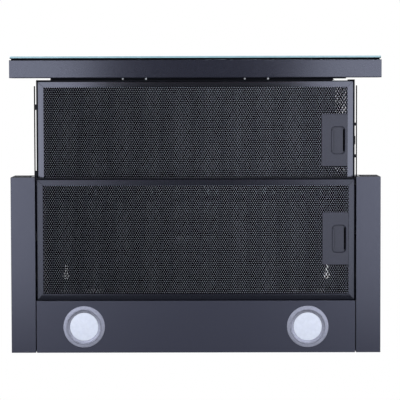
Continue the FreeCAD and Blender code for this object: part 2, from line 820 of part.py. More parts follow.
def make_latch_spring(prefix, shift, lift):
    """A small coil spring that pushes the slide outwards."""
    length = SLIDE_END - SPRING_FOOT - 0.2
    level = (dim.filter_base + lift + (SLIDE_LOW + TONGUE_HIGH) / 2).number
    coil = Part.makeHelix(length / SPRING_TURNS, length, SPRING_RADIUS)
    wire_end = Part.Circle(Vector(SPRING_RADIUS, 0, 0), Vector(0, 1, 0), SPRING_WIRE)
    section = Part.Wire(wire_end.toShape())
    spring = doc.addObject("Part::Feature", prefix.title() + "LatchSpring")
    spring.Shape = Part.Wire(coil).makePipeShell([section], True, True)
    spring.Placement = FreeCAD.Placement(
        Vector(SPRING_FOOT + 0.1, latch_middle(shift).number, level), TURNS["X"])
    return piece(prefix + "_latch_spring", spring)


def make_filters():
    """The same cassette twice: in the casing, and higher up in the drawer."""
    for prefix, shift, lift in (("rear", as_size(0), as_size(0)),
                                ("front", dim.drawer_shift, dim.drawer_lift)):
        make_filter_frame(prefix, shift, lift)
        make_filter_sheets(prefix, shift, lift)
        make_latch_plate(prefix, shift, lift)
        make_latch_slide(prefix, shift, lift)
        make_latch_spring(prefix, shift, lift)


# ---------------------------------------------------------------- drawer
REAR_ROOM = 8
FRONT_ROOM = 0.9
drawer_front = dim.filter_front - dim.drawer_shift - FRONT_ROOM - dim.drawer_wall
drawer_back = filter_back - dim.drawer_shift + 0.8 + dim.drawer_wall
drawer_base = dim.filter_base + dim.drawer_lift - 2.5
runner_back = half_depth - REAR_ROOM - dim.drawer_travel
BRIDGE = (-238, 247)
BRIDGE_LOW = -140
CABLE_NOTCH = rectangle((226, 251), (-302.3, -299.2))
BAR_HEAD = 1.55
BAR_SHANK = 1.25
BAR_SCREW_LENGTH = 10


def make_drawer_frame():
    """Four folded walls round the front filter, low at the back, with a bridge to the bar
    and a notch for the cable at the front right."""
    body = new_body("DrawerFrame")
    inner = dim.drawer_half - dim.drawer_wall
    outside = rectangle((-dim.drawer_half, dim.drawer_half), (drawer_front, drawer_back))
    inside = rectangle((-inner, inner),
                       (drawer_front + dim.drawer_wall, drawer_back - dim.drawer_wall))
    pad(body, "XY", [outside, inside], (drawer_base, dim.drawer_top))
    bridge = rectangle(BRIDGE, (dim.bar_back, drawer_front))
    pad(body, "XY", [bridge], (BRIDGE_LOW, dim.drawer_top))
    pocket(body, "XY", [CABLE_NOTCH], (drawer_base - 1, dim.drawer_top + 1))
    air_gap = rectangle((-inner, inner), (filter_top + dim.drawer_lift, dim.drawer_top + 1))
    pocket(body, "XZ", [air_gap], (drawer_back - dim.drawer_wall - 1, drawer_back + 1))
    pin = Circle(pin_across, pin_level + dim.drawer_lift, pin_hole)
    pocket(body, "XZ", [pin], (drawer_front - 1, drawer_back + 1))
    middle = latch_middle(dim.drawer_shift)
    low = dim.filter_base + dim.drawer_lift
    tongue = rectangle((middle - TONGUE_WAY, middle + TONGUE_WAY),
                       (low + SLIDE_LOW, low + TONGUE_HIGH))
    pocket(body, "YZ", [tongue], (inner - 1, dim.drawer_half + 1))
    gap_middle = (dim.bar_back + drawer_front) / 2
    screw_holes = [Circle(across, gap_middle, BAR_SHANK + 0.05) for across in BAR_SCREWS]
    pocket(body, "XY", screw_holes, (BRIDGE_LOW - 1, BRIDGE_LOW + BAR_SCREW_LENGTH + 2))
    return piece("drawer_frame", body)


COVER_SLOTS = (Rounded(230, 248, -287, -245, 3), Rounded(230, 248, -155, -142, 3))
RUNNER_FRONT = -291
STOP_DEPTH = (-35.6, -33)
STOP_REACH = 3.2
STOP_INSET = 2
SPACER_LEVELS = (-149, -142)
LEFT_SPACERS = ((-261, -252), (-152, -141), (-118, -108))
RIGHT_SPACERS = ((-230, -225), (-178, -173), (-118, -108))


def make_drawer_cover():
    """Top sheet of the drawer, with two open slots for the cable beside its right edge."""
    body = new_body("DrawerCover")
    sheet = rectangle((-dim.drawer_half, dim.drawer_half), (drawer_front, drawer_back))
    pad(body, "XY", [sheet, *COVER_SLOTS], (dim.drawer_top, dim.drawer_top + dim.metal))
    pocket(body, "XY", [CABLE_NOTCH], (dim.drawer_top - 1, dim.drawer_top + dim.metal + 1))
    return piece("drawer_cover", body)


def make_runners():
    """A flat steel runner on each side, with the end stop that meets the rear guide."""
    for side, sign in SIDES:
        outer = dim.runner_inner + dim.runner_thick
        strip = block((sign * dim.runner_inner, sign * outer), (RUNNER_FRONT, runner_back),
                      (dim.runner_low, dim.runner_high))
        stop = block((sign * outer, sign * (outer + STOP_REACH)), STOP_DEPTH,
                     (dim.runner_low + STOP_INSET, dim.runner_high - STOP_INSET))
        piece(side + "_runner", fused(strip, stop, name=side.title() + "Runner"))


def make_runner_spacers():
    """Blocks that join the runners to the drawer's walls."""
    spacers = [block((sign * dim.drawer_half, sign * dim.runner_inner), depth, SPACER_LEVELS)
               for sign, depths in ((-1, LEFT_SPACERS), (1, RIGHT_SPACERS)) for depth in depths]
    return piece("runner_spacers", group(*spacers, name="RunnerSpacers"))


WINDOW = Rounded(-46, 46, BUTTON_LEVEL - 5.5, BUTTON_LEVEL + 5.5, 3)
BUTTON_SUNK = 0.1
BAR_DOOR_HALF = 70
BAR_DOOR = (-166, -142)
BOX_HALF = 56
BOX_LOW = -160
BOX_HIGH = -132
BOX_BACK = -308
BOX_WALL = 1.5
BOARD_BACK = -310.4
BOARD_FRONT = -312
SWITCH_FRONT = -315
PLUNGER_FRONT = -316


def make_front_bar():
    """A hollow bar, open behind for the control box and in front for the buttons."""
    body = new_body("FrontBar")
    half = dim.bar_width / 2
    outside = Rounded(bar_front, dim.bar_back, base, shoulder, 1.2)
    pad(body, "YZ", [outside], (-half, half))
    inside = rectangle((bar_front + dim.metal, dim.bar_back - dim.metal),
                       (base + dim.metal, shoulder - dim.metal))
    pocket(body, "YZ", [inside], (dim.metal - half, half - dim.metal))
    pocket(body, "XZ", [WINDOW], (bar_front - 1, bar_front + dim.metal + 1))
    pocket(body, "XZ", [rectangle((-BAR_DOOR_HALF, BAR_DOOR_HALF), BAR_DOOR)],
           (dim.bar_back - dim.metal - 1, dim.bar_back + 1))
    return piece("front_bar", body)


def make_fascia():
    """The glass in front of the bar and the tape that bonds it."""
    glass = new_body("GlassFascia")
    pad(glass, "XZ", [Rounded(-300, 300, base + 0.6, shoulder - 0.4, 1.5), WINDOW],
        (glass_front, glass_front + dim.glass_thick))
    piece("glass_fascia", glass)
    tape = new_body("FasciaTape")
    pad(tape, "XZ", [rectangle((-298, 298), (base + 2, shoulder - 2)), WINDOW],
        (glass_front + dim.glass_thick, bar_front))
    piece("fascia_tape", tape)


def make_controls():
    """Control box with its button grid, the board with its switches, and four buttons."""
    grid_front = glass_front + 0.5
    box_front = bar_front + dim.metal
    room = ((BOX_WALL - BOX_HALF, BOX_HALF - BOX_WALL), (BOX_LOW + BOX_WALL, BOX_HIGH - BOX_WALL))
    box = new_body("ControlBox")
    pad(box, "XZ", [Rounded(-45.8, 45.8, BUTTON_LEVEL - 5.3, BUTTON_LEVEL + 5.3, 2.8)],
        (grid_front, box_front + 0.5))
    pad(box, "XZ", [rectangle((-BOX_HALF, BOX_HALF), (BOX_LOW, BOX_HIGH))], (box_front, BOX_BACK))
    pocket(box, "XZ", [rectangle(*room)], (box_front + BOX_WALL, BOX_BACK))
    holes = []
    for step in BUTTONS:
        middle = step * dim.button_pitch
        reach = dim.button_width / 2 + 0.2
        rise = dim.button_height / 2 + 0.2
        holes.append(Rounded(middle - reach, middle + reach,
                             BUTTON_LEVEL - rise, BUTTON_LEVEL + rise, 1.7))
    pocket(box, "XZ", holes, (grid_front - 1, box_front + BOX_WALL + 0.2))
    piece("control_box", box)

    board = block(room[0], (BOARD_FRONT, BOARD_BACK), room[1])
    parts = []
    for step in BUTTONS:
        middle = step * dim.button_pitch
        parts.append(block((middle - 3.5, middle + 3.5), (SWITCH_FRONT, BOARD_FRONT),
                           (BUTTON_LEVEL - 3.5, BUTTON_LEVEL + 3.5)))
        parts.append(rod(1.6, "Y", (middle, BUTTON_LEVEL), (PLUNGER_FRONT, SWITCH_FRONT)))
    piece("control_board", fused(board, *parts, name="ControlBoard"))

    for number, step in enumerate(BUTTONS, start=1):
        middle = step * dim.button_pitch
        reach = dim.button_width / 2
        rise = dim.button_height / 2
        button = new_body(f"Button{number}")
        pad(button, "XZ", [Rounded(middle - reach, middle + reach,
                                   BUTTON_LEVEL - rise, BUTTON_LEVEL + rise, 1.5)],
            (glass_front + BUTTON_SUNK, box_front + 3))
        pad(button, "XZ", [rectangle((middle - 10, middle + 10),
                                     (BUTTON_LEVEL - 5.5, BUTTON_LEVEL + 5.5))],
            (box_front + BOX_WALL + 0.1, box_front + 3))
        pad(button, "XZ", [Circle(middle, BUTTON_LEVEL, 2)],
            (box_front + 3, PLUNGER_FRONT - dim.button_travel - 0.1))
        piece(f"button_{number}", button)


def make_bar_screws():
    """Four screws up into the bridge, with their heads in the gap behind the bar."""
    gap_middle = (dim.bar_back + drawer_front) / 2
    screws = []
    for across in BAR_SCREWS:
        head = rod(BAR_HEAD, "Z", (across, gap_middle), (BRIDGE_LOW - 1.4, BRIDGE_LOW))
        shank = rod(BAR_SHANK, "Z", (across, gap_middle),
                    (BRIDGE_LOW, BRIDGE_LOW + BAR_SCREW_LENGTH))
        screws.append(fused(head, shank))
    return piece("bar_screws", group(*screws, name="BarScrews"))


# ---------------------------------------------------------------- blower
FAN_AT = (dim.fan_back, fan_level)
INLET_RADIUS = 34.5
BUSH_REACH = 42
BUSH_RADIUS = 5
DUCT_BACK = 30
SCROLL_FLANGE = 15
SCROLL_FLANGE_DEPTH = 28
MOTOR_NEAR = 8
MOTOR_FAR = 58
BRACKET_FAR = 60


def make_volute():
    """The fan housing in two halves: a round scroll that opens upwards into the collar."""
    wall = dim.scroll_wall
    half = dim.scroll_half
    centre = (dim.scroll_back, -dim.scroll_drop)
    duct = (dim.scroll_back - dim.scroll_radius, DUCT_BACK)
    outer = fused(rod(dim.scroll_radius, "X", centre, (-half, half)),
                  block((-half, half), duct, (-dim.scroll_drop, FLANGE_LOW)))
    inner_half = half - wall
    inner = fused(rod(dim.scroll_radius - wall, "X", centre, (-inner_half, inner_half)),
                  block((-inner_half, inner_half), (duct[0] + wall, duct[1] - wall),
                        (-dim.scroll_drop, 0)))
    shell = cut(outer, inner)
    additions = []
    for _, sign in SIDES:
        additions.append(rod(INLET_RADIUS + wall, "X", FAN_AT, (sign * inner_half,
                                                                sign * (inner_half - 4))))
        additions.append(block((sign * half, sign * (half + SCROLL_FLANGE)),
                               (-SCROLL_FLANGE_DEPTH, SCROLL_FLANGE_DEPTH),
                               (FLANGE_LOW - 3, FLANGE_LOW)))
    whole = fused(shell, *additions)
    screw_ways = [rod(SCREW_SHANK + SCREW_PLAY, "Z", at, (FLANGE_LOW - 4, FLANGE_LOW + 1))
                  for at in COLLAR_SCREWS]
    bored = cut(whole, rod(INLET_RADIUS, "X", FAN_AT, (-half - 1, half + 1)), *screw_ways)
    for side, sign in SIDES:
        other = block((0, -sign * 2 * half), (-half_depth, half_depth), (2 * centre[1], 10))
        piece(side + "_volute", cut(bored, other, name=side.title() + "Volute"))


def make_motor():
    """The can inside the drum, its three-armed bracket and the rubber bushes."""
    can = rod(dim.motor_radius, "X", FAN_AT, (MOTOR_NEAR, MOTOR_FAR))
    bore = rod(dim.shaft_radius + 0.05, "X", FAN_AT, (MOTOR_NEAR - 1, MOTOR_FAR + 1))
    piece("motor_can", cut(can, bore, name="MotorCan"))
    bracket = new_body("MotorBracket")
    bind(bracket, "Placement.Base.y", dim.fan_back)
    bind(bracket, "Placement.Base.z", fan_level)
    sheet = (MOTOR_FAR, BRACKET_FAR)
    pad(bracket, "YZ", [Circle(0, 0, 22), Circle(0, 0, 6)], sheet)
    arm = pad(bracket, "YZ", [rectangle((-5, 5), (18, BUSH_REACH + BUSH_RADIUS))], sheet)
    arms = bracket.newObject("PartDesign::PolarPattern", "Arms")
    arms.Originals = [arm]
    arms.Axis = (x_axis(bracket), [""])
    arms.Angle = 360
    arms.Occurrences = 3
    bracket.Tip = arms
    piece("motor_bracket", bracket)
    bushes = []
    for turn in (90, 210, 330):
        out = FreeCAD.Rotation(Vector(1, 0, 0), turn).multVec(Vector(0, BUSH_REACH, 0))
        place = (dim.fan_back + out.y, fan_level + out.z)
        bushes.append(rod(BUSH_RADIUS, "X", place, (dim.scroll_half, MOTOR_FAR)))
    piece("motor_bushes", group(*bushes, name="MotorBushes"))


def x_axis(body):
    return [part for part in body.Origin.OriginFeatures if part.Role == "X_Axis"][0]


def make_impeller():
    """A drum with blades on both sides of its middle disc, on a steel shaft."""
    body = new_body("Impeller")
    bind(body, "Placement.Base.y", dim.fan_back)
    bind(body, "Placement.Base.z", fan_level)
    blade_in = dim.fan_radius - dim.blade_depth
    bore = Circle(0, 0, dim.shaft_radius + 0.02)
    pad(body, "YZ", [Circle(0, 0, dim.fan_radius), bore], (-1, 1))
    pad(body, "YZ", [Circle(0, 0, 9), bore], (-12, 4))
    for _, sign in SIDES:
        pad(body, "YZ", [Circle(0, 0, dim.fan_radius), Circle(0, 0, blade_in)],
            (sign * (dim.fan_half - 2), sign * dim.fan_half))
    blade = pad(body, "YZ", [[(-2.4, blade_in + 0.4), (-1.2, blade_in + 0.4),
                              (2.6, dim.fan_radius - 0.4), (1.4, dim.fan_radius - 0.4)]],
                (-dim.fan_half + 1, dim.fan_half - 1))
    blades = body.newObject("PartDesign::PolarPattern", "Blades")
    blades.Originals = [blade]
    blades.Axis = (x_axis(body), [""])
    blades.Angle = 360
    blades.Occurrences = int(DIMENSIONS["fan_blades"])
    body.Tip = blades
    piece("impeller", body)
    piece("motor_shaft", rod(dim.shaft_radius, "X", FAN_AT, (-14, 50), name="MotorShaft"))


# ---------------------------------------------------------------- duct collar
FOOT_TOP = -0.3
LEDGE_REACH = 2.9
LEDGE_THICK = 1.9
FLAP_PLAY = 0.1
PIN_SEAT = 0.8
FLAP_EDGE = 3.4
KNUCKLE_RADIUS = 3
REAR_KNUCKLES = ((-48, -28), (4, 24))
FRONT_KNUCKLES = ((-24, 0), (28, 48))


def make_collar():
    """The duct spigot: flange under the top panel, tube above it and a ledge for the flaps."""
    body = new_body("DuctCollar")
    inner = dim.collar_radius - dim.collar_wall
    ledge = inner - LEDGE_REACH
    ledge_top = dim.flap_level - dim.flap_thick / 2 - FLAP_PLAY
    spin(body, "XZ", [
        (inner, FLANGE_LOW), (dim.collar_flange, FLANGE_LOW), (dim.collar_flange, -dim.metal),
        (dim.collar_foot, -dim.metal), (dim.collar_foot, FOOT_TOP),
        (dim.collar_radius, FOOT_TOP), (dim.collar_radius, dim.collar_height),
        (inner, dim.collar_height), (inner, ledge_top), (ledge, ledge_top),
        (ledge, ledge_top - LEDGE_THICK), (inner, ledge_top - LEDGE_THICK),
    ], "Z")
    screw_holes = [Circle(across, back, SCREW_SHANK + SCREW_PLAY) for across, back in COLLAR_SCREWS]
    pocket(body, "XY", screw_holes, (FLANGE_LOW - 1, 0))
    pin_seat = Circle(0, dim.flap_level, dim.flap_pin + 0.02)
    pocket(body, "YZ", [pin_seat], (-inner - PIN_SEAT, inner + PIN_SEAT))
    piece("duct_collar", body)
    pin_end = inner + PIN_SEAT - 0.1
    piece("flap_pin", rod(dim.flap_pin, "X", (0, dim.flap_level), (-pin_end, pin_end),
                          name="FlapPin"))


def make_flaps():
    """Two half discs on one pin, whose barrels take turns along it."""
    level = dim.flap_level
    plate = (level - dim.flap_thick / 2, level + dim.flap_thick / 2)
    across = dim.collar_radius
    for name, hand, barrels in (("rear_flap", 1, REAR_KNUCKLES),
                                ("front_flap", -1, FRONT_KNUCKLES)):
        disc = rod(dim.flap_radius, "Z", (0, 0), plate)
        other_half = block((-across, across), (hand * FLAP_EDGE, -hand * across), (0, level * 2))
        half = cut(disc, other_half)
        knuckles = [rod(KNUCKLE_RADIUS, "X", (0, level), span) for span in barrels]
        webs = [block(span, (0, hand * (FLAP_EDGE + 0.5)), plate) for span in barrels]
        joined = fused(half, *knuckles, *webs)
        bore = rod(dim.flap_pin + 0.06, "X", (0, level), (-across, across))
        piece(name, cut(joined, bore, name=name.title().replace("_", "")))


# ---------------------------------------------------------------- electrics
def make_electrics():
    """Terminal box and lid, cable gland, capacitor, lamp driver and drawer switch."""
    roof = -dim.metal
    box = cut(block((150, 220), (62, 122), (-38, roof)),
              block((152, 218), (64, 120), (-39, -3)),
              rod(GLAND_RADIUS + 0.1, "Z", GLAND, (-5, 0)), name="TerminalBox")
    piece("terminal_box", box)
    piece("terminal_box_lid", rounded_block((149, 221), (61, 123), (-41, -38), 2,
                                            name="TerminalBoxLid"))
    gland = new_body("CableGland")
    bind(gland, "Placement.Base.x", GLAND[0])
    bind(gland, "Placement.Base.y", GLAND[1])
    spin(gland, "XZ", [(4, -12), (GLAND_RADIUS, -12), (GLAND_RADIUS, 0), (12, 0), (12, 3),
                       (9.5, 3), (9.5, 12), (7, 15), (4, 15)], "Z")
    piece("cable_gland", gland)
    piece("capacitor", rounded_block((-150, -110), (70, 95), (-36, roof), 3, name="Capacitor"))
    piece("led_driver", rounded_block((-240, -160), (62, 100), (-26, roof), 2, name="LedDriver"))
    piece("drawer_switch", rounded_block((200, 232), (inside_front, -134), (-117, -109), 1,
                                         axis="Y", name="DrawerSwitch"))


# ---------------------------------------------------------------- the whole hood
def build():
    make_chassis_wrap()
    make_end_panels()
    make_casing_screws()
    for side, sign in SIDES:
        make_flank(side, sign)
        make_lamp(side, sign)
    make_light_panel()
    make_front_rail()
    make_slide_guides()
    make_lamp_clips()
    make_filters()
    make_drawer_frame()
    make_drawer_cover()
    make_runners()
    make_runner_spacers()
    make_front_bar()
    make_fascia()
    make_controls()
    make_bar_screws()
    make_volute()
    make_motor()
    make_impeller()
    make_collar()
    make_flaps()
    make_electrics()


def export():
    """Checks every object, then writes one file for each sub-part."""
    doc.recompute()
    for item in doc.Objects:
        if {"Invalid", "Error"} & set(item.State):
            raise RuntimeError(f"{item.Label} failed: {item.State}")
    for part in pieces:
        if part.Shape.isNull() or not part.Shape.isValid():
            raise RuntimeError(f"{part.Label} has no valid shape")
    os.makedirs("parts", exist_ok=True)
    for part in pieces:
        part.Shape.exportStep(f"parts/{part.Label}.step")
        box = part.Shape.BoundBox
        print(f"{part.Label}: {len(part.Shape.Solids)} solid(s), "
              f"{box.XLength:.1f} x {box.YLength:.1f} x {box.ZLength:.1f}")
    print(len(pieces), "sub-parts")


build()
export()
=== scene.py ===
"""Looks of a pull out range hood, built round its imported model. Lengths are in metres."""
import json
import math

import bmesh
import bpy
import numpy as np
from mathutils import Matrix, Vector


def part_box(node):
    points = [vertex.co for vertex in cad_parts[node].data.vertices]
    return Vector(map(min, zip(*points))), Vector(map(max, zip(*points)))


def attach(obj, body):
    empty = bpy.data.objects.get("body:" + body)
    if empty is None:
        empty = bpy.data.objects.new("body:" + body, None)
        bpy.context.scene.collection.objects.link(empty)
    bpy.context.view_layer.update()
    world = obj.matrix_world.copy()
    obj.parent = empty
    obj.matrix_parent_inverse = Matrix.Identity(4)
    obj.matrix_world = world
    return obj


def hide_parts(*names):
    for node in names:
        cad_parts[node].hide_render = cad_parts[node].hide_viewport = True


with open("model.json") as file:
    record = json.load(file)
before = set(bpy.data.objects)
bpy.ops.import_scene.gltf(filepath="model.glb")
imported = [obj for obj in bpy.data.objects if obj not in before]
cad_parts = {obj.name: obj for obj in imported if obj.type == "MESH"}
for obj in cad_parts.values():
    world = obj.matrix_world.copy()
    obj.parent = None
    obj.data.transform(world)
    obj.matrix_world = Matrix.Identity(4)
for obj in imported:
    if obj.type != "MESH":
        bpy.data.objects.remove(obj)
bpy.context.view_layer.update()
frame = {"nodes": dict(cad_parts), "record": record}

MM = 0.001
nodes = frame["nodes"]
slots = {part["node"]: part["material_slot"] for part in frame["record"]["subparts"]}
body_of_node = {node: body for body, names in frame["record"]["behaviour"]["bodies"].items()
                for node in names}


# ---------------------------------------------------------------- colours and shader nodes
def linear(hex_colour):
    """An sRGB hex colour as linear light."""
    parts = [int(hex_colour[i:i + 2], 16) / 255 for i in (1, 3, 5)]
    return [p / 12.92 if p <= 0.04045 else ((p + 0.055) / 1.055) ** 2.4 for p in parts] + [1.0]


def add(tree, kind, settings=None, links=None):
    """Adds one shader node. Settings and links name its input sockets, by name or number, and
    a setting may also name a property."""
    node = tree.nodes.new(kind)
    for name, value in (settings or {}).items():
        if isinstance(name, int) or name in node.inputs:
            node.inputs[name].default_value = value
        else:
            setattr(node, name, value)
    for name, source in (links or {}).items():
        tree.links.new(source, node.inputs[name])
    return node


def start_material(name):
    """An empty material, its tree and the object-space coordinates of its surface."""
    made = bpy.data.materials.new(name)
    made.use_nodes = True
    tree = made.node_tree
    tree.nodes.clear()
    return made, tree, add(tree, "ShaderNodeTexCoord").outputs["Object"]


def close_material(made, tree, shader):
    """Puts the shader on the material's surface."""
    add(tree, "ShaderNodeOutputMaterial", links={"Surface": shader.outputs[0]})
    return made


def grain(tree, place, size, depth):
    """Bump from noise whose lumps are size metres across and depth metres deep."""
    noise = add(tree, "ShaderNodeTexNoise", {"Scale": 1 / size, "Detail": 2.0}, {"Vector": place})
    return add(tree, "ShaderNodeBump", {"Strength": 1.0, "Distance": depth},
               {"Height": noise.outputs[0]}).outputs[0]


def varied(tree, place, size, low, high):
    """A number that wanders between low and high over patches of that size. Noise keeps mostly
    between 0.3 and 0.7, so that range is stretched to the one wanted."""
    noise = add(tree, "ShaderNodeTexNoise", {"Scale": 1 / size, "Detail": 2.0}, {"Vector": place})
    return add(tree, "ShaderNodeMapRange", {"From Min": 0.3, "From Max": 0.7,
                                            "To Min": low, "To Max": high},
               {"Value": noise.outputs[0]}).outputs[0]


def tinted(tree, place, size, dark, light):
    """A colour that wanders between two near shades over patches of that size."""
    noise = add(tree, "ShaderNodeTexNoise", {"Scale": 1 / size, "Detail": 3.0}, {"Vector": place})
    ramp = add(tree, "ShaderNodeValToRGB", links={"Fac": noise.outputs[0]})
    ramp.color_ramp.elements[0].position = 0.35
    ramp.color_ramp.elements[0].color = linear(dark)
    ramp.color_ramp.elements[1].position = 0.65
    ramp.color_ramp.elements[1].color = linear(light)
    return ramp.outputs[0]


# ---------------------------------------------------------------- finishes
# The faint blue of what the coats mirror.
COOL = (0.88, 0.9, 1.0, 1.0)


def powder_coat(name, dark, light, roughness, ior=1.5):
    """Polyester powder coat on sheet steel: smooth satin with a fine grain of 0.6 mm, so the
    soft boxes show in it as a slow fade from its ends to its middle."""
    made, tree, place = start_material(name)
    shader = add(tree, "ShaderNodeBsdfPrincipled", {"IOR": ior, "Specular Tint": COOL},
                 {"Base Color": tinted(tree, place, 0.8 * MM, dark, light),
                  "Roughness": varied(tree, place, 3 * MM, roughness - 0.02, roughness + 0.02),
                  "Normal": grain(tree, place, 0.6 * MM, 0.002 * MM)})
    return close_material(made, tree, shader)


def galvanised_sheet():
    """Zinc-coated steel: grey metal with patches of crystal spangle about 8 mm across."""
    made, tree, place = start_material("galvanised_steel")
    spangle = add(tree, "ShaderNodeTexVoronoi", {"Scale": 1 / (8 * MM)}, {"Vector": place})
    tone = add(tree, "ShaderNodeValToRGB", links={"Fac": spangle.outputs["Color"]})
    tone.color_ramp.elements[0].color = linear("#8d9093")
    tone.color_ramp.elements[1].color = linear("#a9acae")
    shader = add(tree, "ShaderNodeBsdfPrincipled", {"Metallic": 1.0},
                 {"Base Color": tone.outputs[0],
                  "Roughness": varied(tree, place, 3 * MM, 0.38, 0.5),
                  "Normal": grain(tree, place, 0.8 * MM, 0.008 * MM)})
    return close_material(made, tree, shader)


def bright_metal(name, dark, light, roughness, size=0.5 * MM):
    """Plated, drawn or cast metal, whose fine marks break up the shine."""
    made, tree, place = start_material(name)
    shader = add(tree, "ShaderNodeBsdfPrincipled", {"Metallic": 1.0},
                 {"Base Color": tinted(tree, place, 4 * MM, dark, light),
                  "Roughness": varied(tree, place, size, roughness - 0.05, roughness + 0.07),
                  "Normal": grain(tree, place, size, 0.004 * MM)})
    return close_material(made, tree, shader)


# Above this height over a latch slide's lowest point, its colour is painted near-black shade.
GRIP_DEEP = 4.4 * MM


def slide_plastic_and_painted_shade(name, slide):
    """One latch slide in two colours. The grip in the recess has the plate's grey plastic; above
    GRIP_DEEP over the slide's lowest point, where it slides inside the plate, it is painted
    near-black as the shade deep in the slot, so the slot looks empty from end to end."""
    shade_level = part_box(slide)[0][2] + GRIP_DEEP
    made, tree, place = start_material(name)
    height = add(tree, "ShaderNodeSeparateXYZ", links={"Vector": place}).outputs["Z"]
    # Painted shade mask: 1 on the part of the slide that lies deep in the slot.
    inside = add(tree, "ShaderNodeMath", {"operation": "GREATER_THAN", 1: shade_level}, {0: height})
    grip = add(tree, "ShaderNodeBsdfPrincipled", {"IOR": 1.47},
               {"Base Color": tinted(tree, place, 1.5 * MM, "#2c2d38", "#32333f"),
                "Roughness": varied(tree, place, 1 * MM, 0.38, 0.47)})
    # Painted shade: a near-black, dull colour standing in for the shade deep in the slot.
    painted_shade_black = add(tree, "ShaderNodeBsdfPrincipled", {"IOR": 1.1},
                {"Base Color": tinted(tree, place, 1.5 * MM, "#060607", "#09090a"),
                 "Roughness": varied(tree, place, 1 * MM, 0.6, 0.7)})
    mixed = add(tree, "ShaderNodeMixShader",
                links={0: inside.outputs[0], 1: grip.outputs[0], 2: painted_shade_black.outputs[0]})
    return close_material(made, tree, mixed)


def moulded_plastic(name, dark, light, roughness, size=0.35 * MM, depth=0.01 * MM, ior=1.47):
    """Injection-moulded plastic: a sparked mould leaves an even grain, which dulls the gloss."""
    made, tree, place = start_material(name)
    shader = add(tree, "ShaderNodeBsdfPrincipled", {"IOR": ior},
                 {"Base Color": tinted(tree, place, 1.5 * MM, dark, light),
                  "Roughness": varied(tree, place, 1 * MM, roughness - 0.04, roughness + 0.05),
                  "Normal": grain(tree, place, size, depth)})
    return close_material(made, tree, shader)


def opal_lens():
    """Opal polycarbonate over unlit lamps: milky, a little translucent, with a satin skin."""
    made, tree, place = start_material("milky_lens")
    shader = add(tree, "ShaderNodeBsdfPrincipled",
                 {"IOR": 1.58, "Subsurface Weight": 0.25, "Subsurface Scale": 1.0,
                  "Subsurface Radius": (2 * MM, 2 * MM, 2.5 * MM)},
                 {"Base Color": tinted(tree, place, 6 * MM, "#d3d7de", "#dadee5"),
                  "Roughness": varied(tree, place, 1 * MM, 0.3, 0.4),
                  "Normal": grain(tree, place, 1.2 * MM, 0.01 * MM)})
    return close_material(made, tree, shader)


PAINT_SHOWS = 1.2 * MM


def float_glass():
    """Clear float glass with fire-polished faces. Its edges, whose normals don't run along Y,
    are ground and take the light teal that iron gives a long way through the sheet. The black
    paint of its back shows as a thin line along each edge."""
    made, tree, place = start_material("fascia_glass")
    facing = add(tree, "ShaderNodeSeparateXYZ",
                 links={"Vector": add(tree, "ShaderNodeNewGeometry").outputs["Normal"]})
    amount = add(tree, "ShaderNodeMath", {"operation": "ABSOLUTE"}, {0: facing.outputs["Y"]})
    edge = add(tree, "ShaderNodeMath", {"operation": "LESS_THAN", 1: 0.5}, {0: amount.outputs[0]})
    face = add(tree, "ShaderNodeBsdfPrincipled", {"IOR": 1.52, "Transmission Weight": 1.0},
               {"Base Color": tinted(tree, place, 40 * MM, "#f0f8f7", "#f4faf9"),
                "Roughness": varied(tree, place, 25 * MM, 0.0, 0.03)})
    ground = add(tree, "ShaderNodeBsdfPrincipled", {"IOR": 1.52},
                 {"Base Color": tinted(tree, place, 9 * MM, "#8ab0b3", "#96babd"),
                  "Roughness": varied(tree, place, 4 * MM, 0.22, 0.3)})
    paint = add(tree, "ShaderNodeBsdfPrincipled", {"IOR": 1.1},
                {"Base Color": tinted(tree, place, 4 * MM, "#050506", "#08080a"),
                 "Roughness": varied(tree, place, 4 * MM, 0.55, 0.65)})
    depth = add(tree, "ShaderNodeSeparateXYZ", links={"Vector": place}).outputs["Y"]
    painted = add(tree, "ShaderNodeMath",
                  {"operation": "GREATER_THAN", 1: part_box("glass_fascia")[1][1] - PAINT_SHOWS},
                  {0: depth})
    border = add(tree, "ShaderNodeMixShader",
                 links={0: painted.outputs[0], 1: ground.outputs[0], 2: paint.outputs[0]})
    mixed = add(tree, "ShaderNodeMixShader",
                links={0: edge.outputs[0], 1: face.outputs[0], 2: border.outputs[0]})
    return close_material(made, tree, mixed)


def glint_painted_mesh():
    """Dark-coated expanded sheet with its bonds flattened by rolling. The bonds' pale colour is a
    painted glint and the twisted strands between them are painted near-black as shade, so a face
    reads as rows of small bright dots."""
    made, tree, place = start_material("filter_mesh")
    # Painted highlight: the bonds' pale base colour stands in for the lamps' glints on them.
    shine = add(tree, "ShaderNodeBsdfPrincipled", {"IOR": 2.6, "Specular Tint": COOL},
                {"Base Color": tinted(tree, place, 0.8 * MM, "#63646b", "#6f7077"),
                 "Roughness": varied(tree, place, 1 * MM, 0.28, 0.34)})
    # Painted shade: the strands' near-black base colour stands in for their shade.
    dark = add(tree, "ShaderNodeBsdfPrincipled", {"IOR": 1.2, "Specular Tint": COOL},
               {"Base Color": tinted(tree, place, 0.8 * MM, "#09090b", "#0d0d10"),
                "Roughness": varied(tree, place, 1 * MM, 0.5, 0.6)})
    bond = add(tree, "ShaderNodeAttribute", {"attribute_name": "bond"})
    mixed = add(tree, "ShaderNodeMixShader",
                links={0: bond.outputs["Fac"], 1: dark.outputs[0], 2: shine.outputs[0]})
    return close_material(made, tree, mixed)


def board_laminate():
    """Glass-fibre circuit board: green solder mask over a faint weave."""
    made, tree, place = start_material("board_laminate")
    shader = add(tree, "ShaderNodeBsdfPrincipled", {"IOR": 1.5},
                 {"Base Color": tinted(tree, place, 0.7 * MM, "#12502a", "#1a6034"),
                  "Roughness": varied(tree, place, 2 * MM, 0.3, 0.42)})
    return close_material(made, tree, shader)


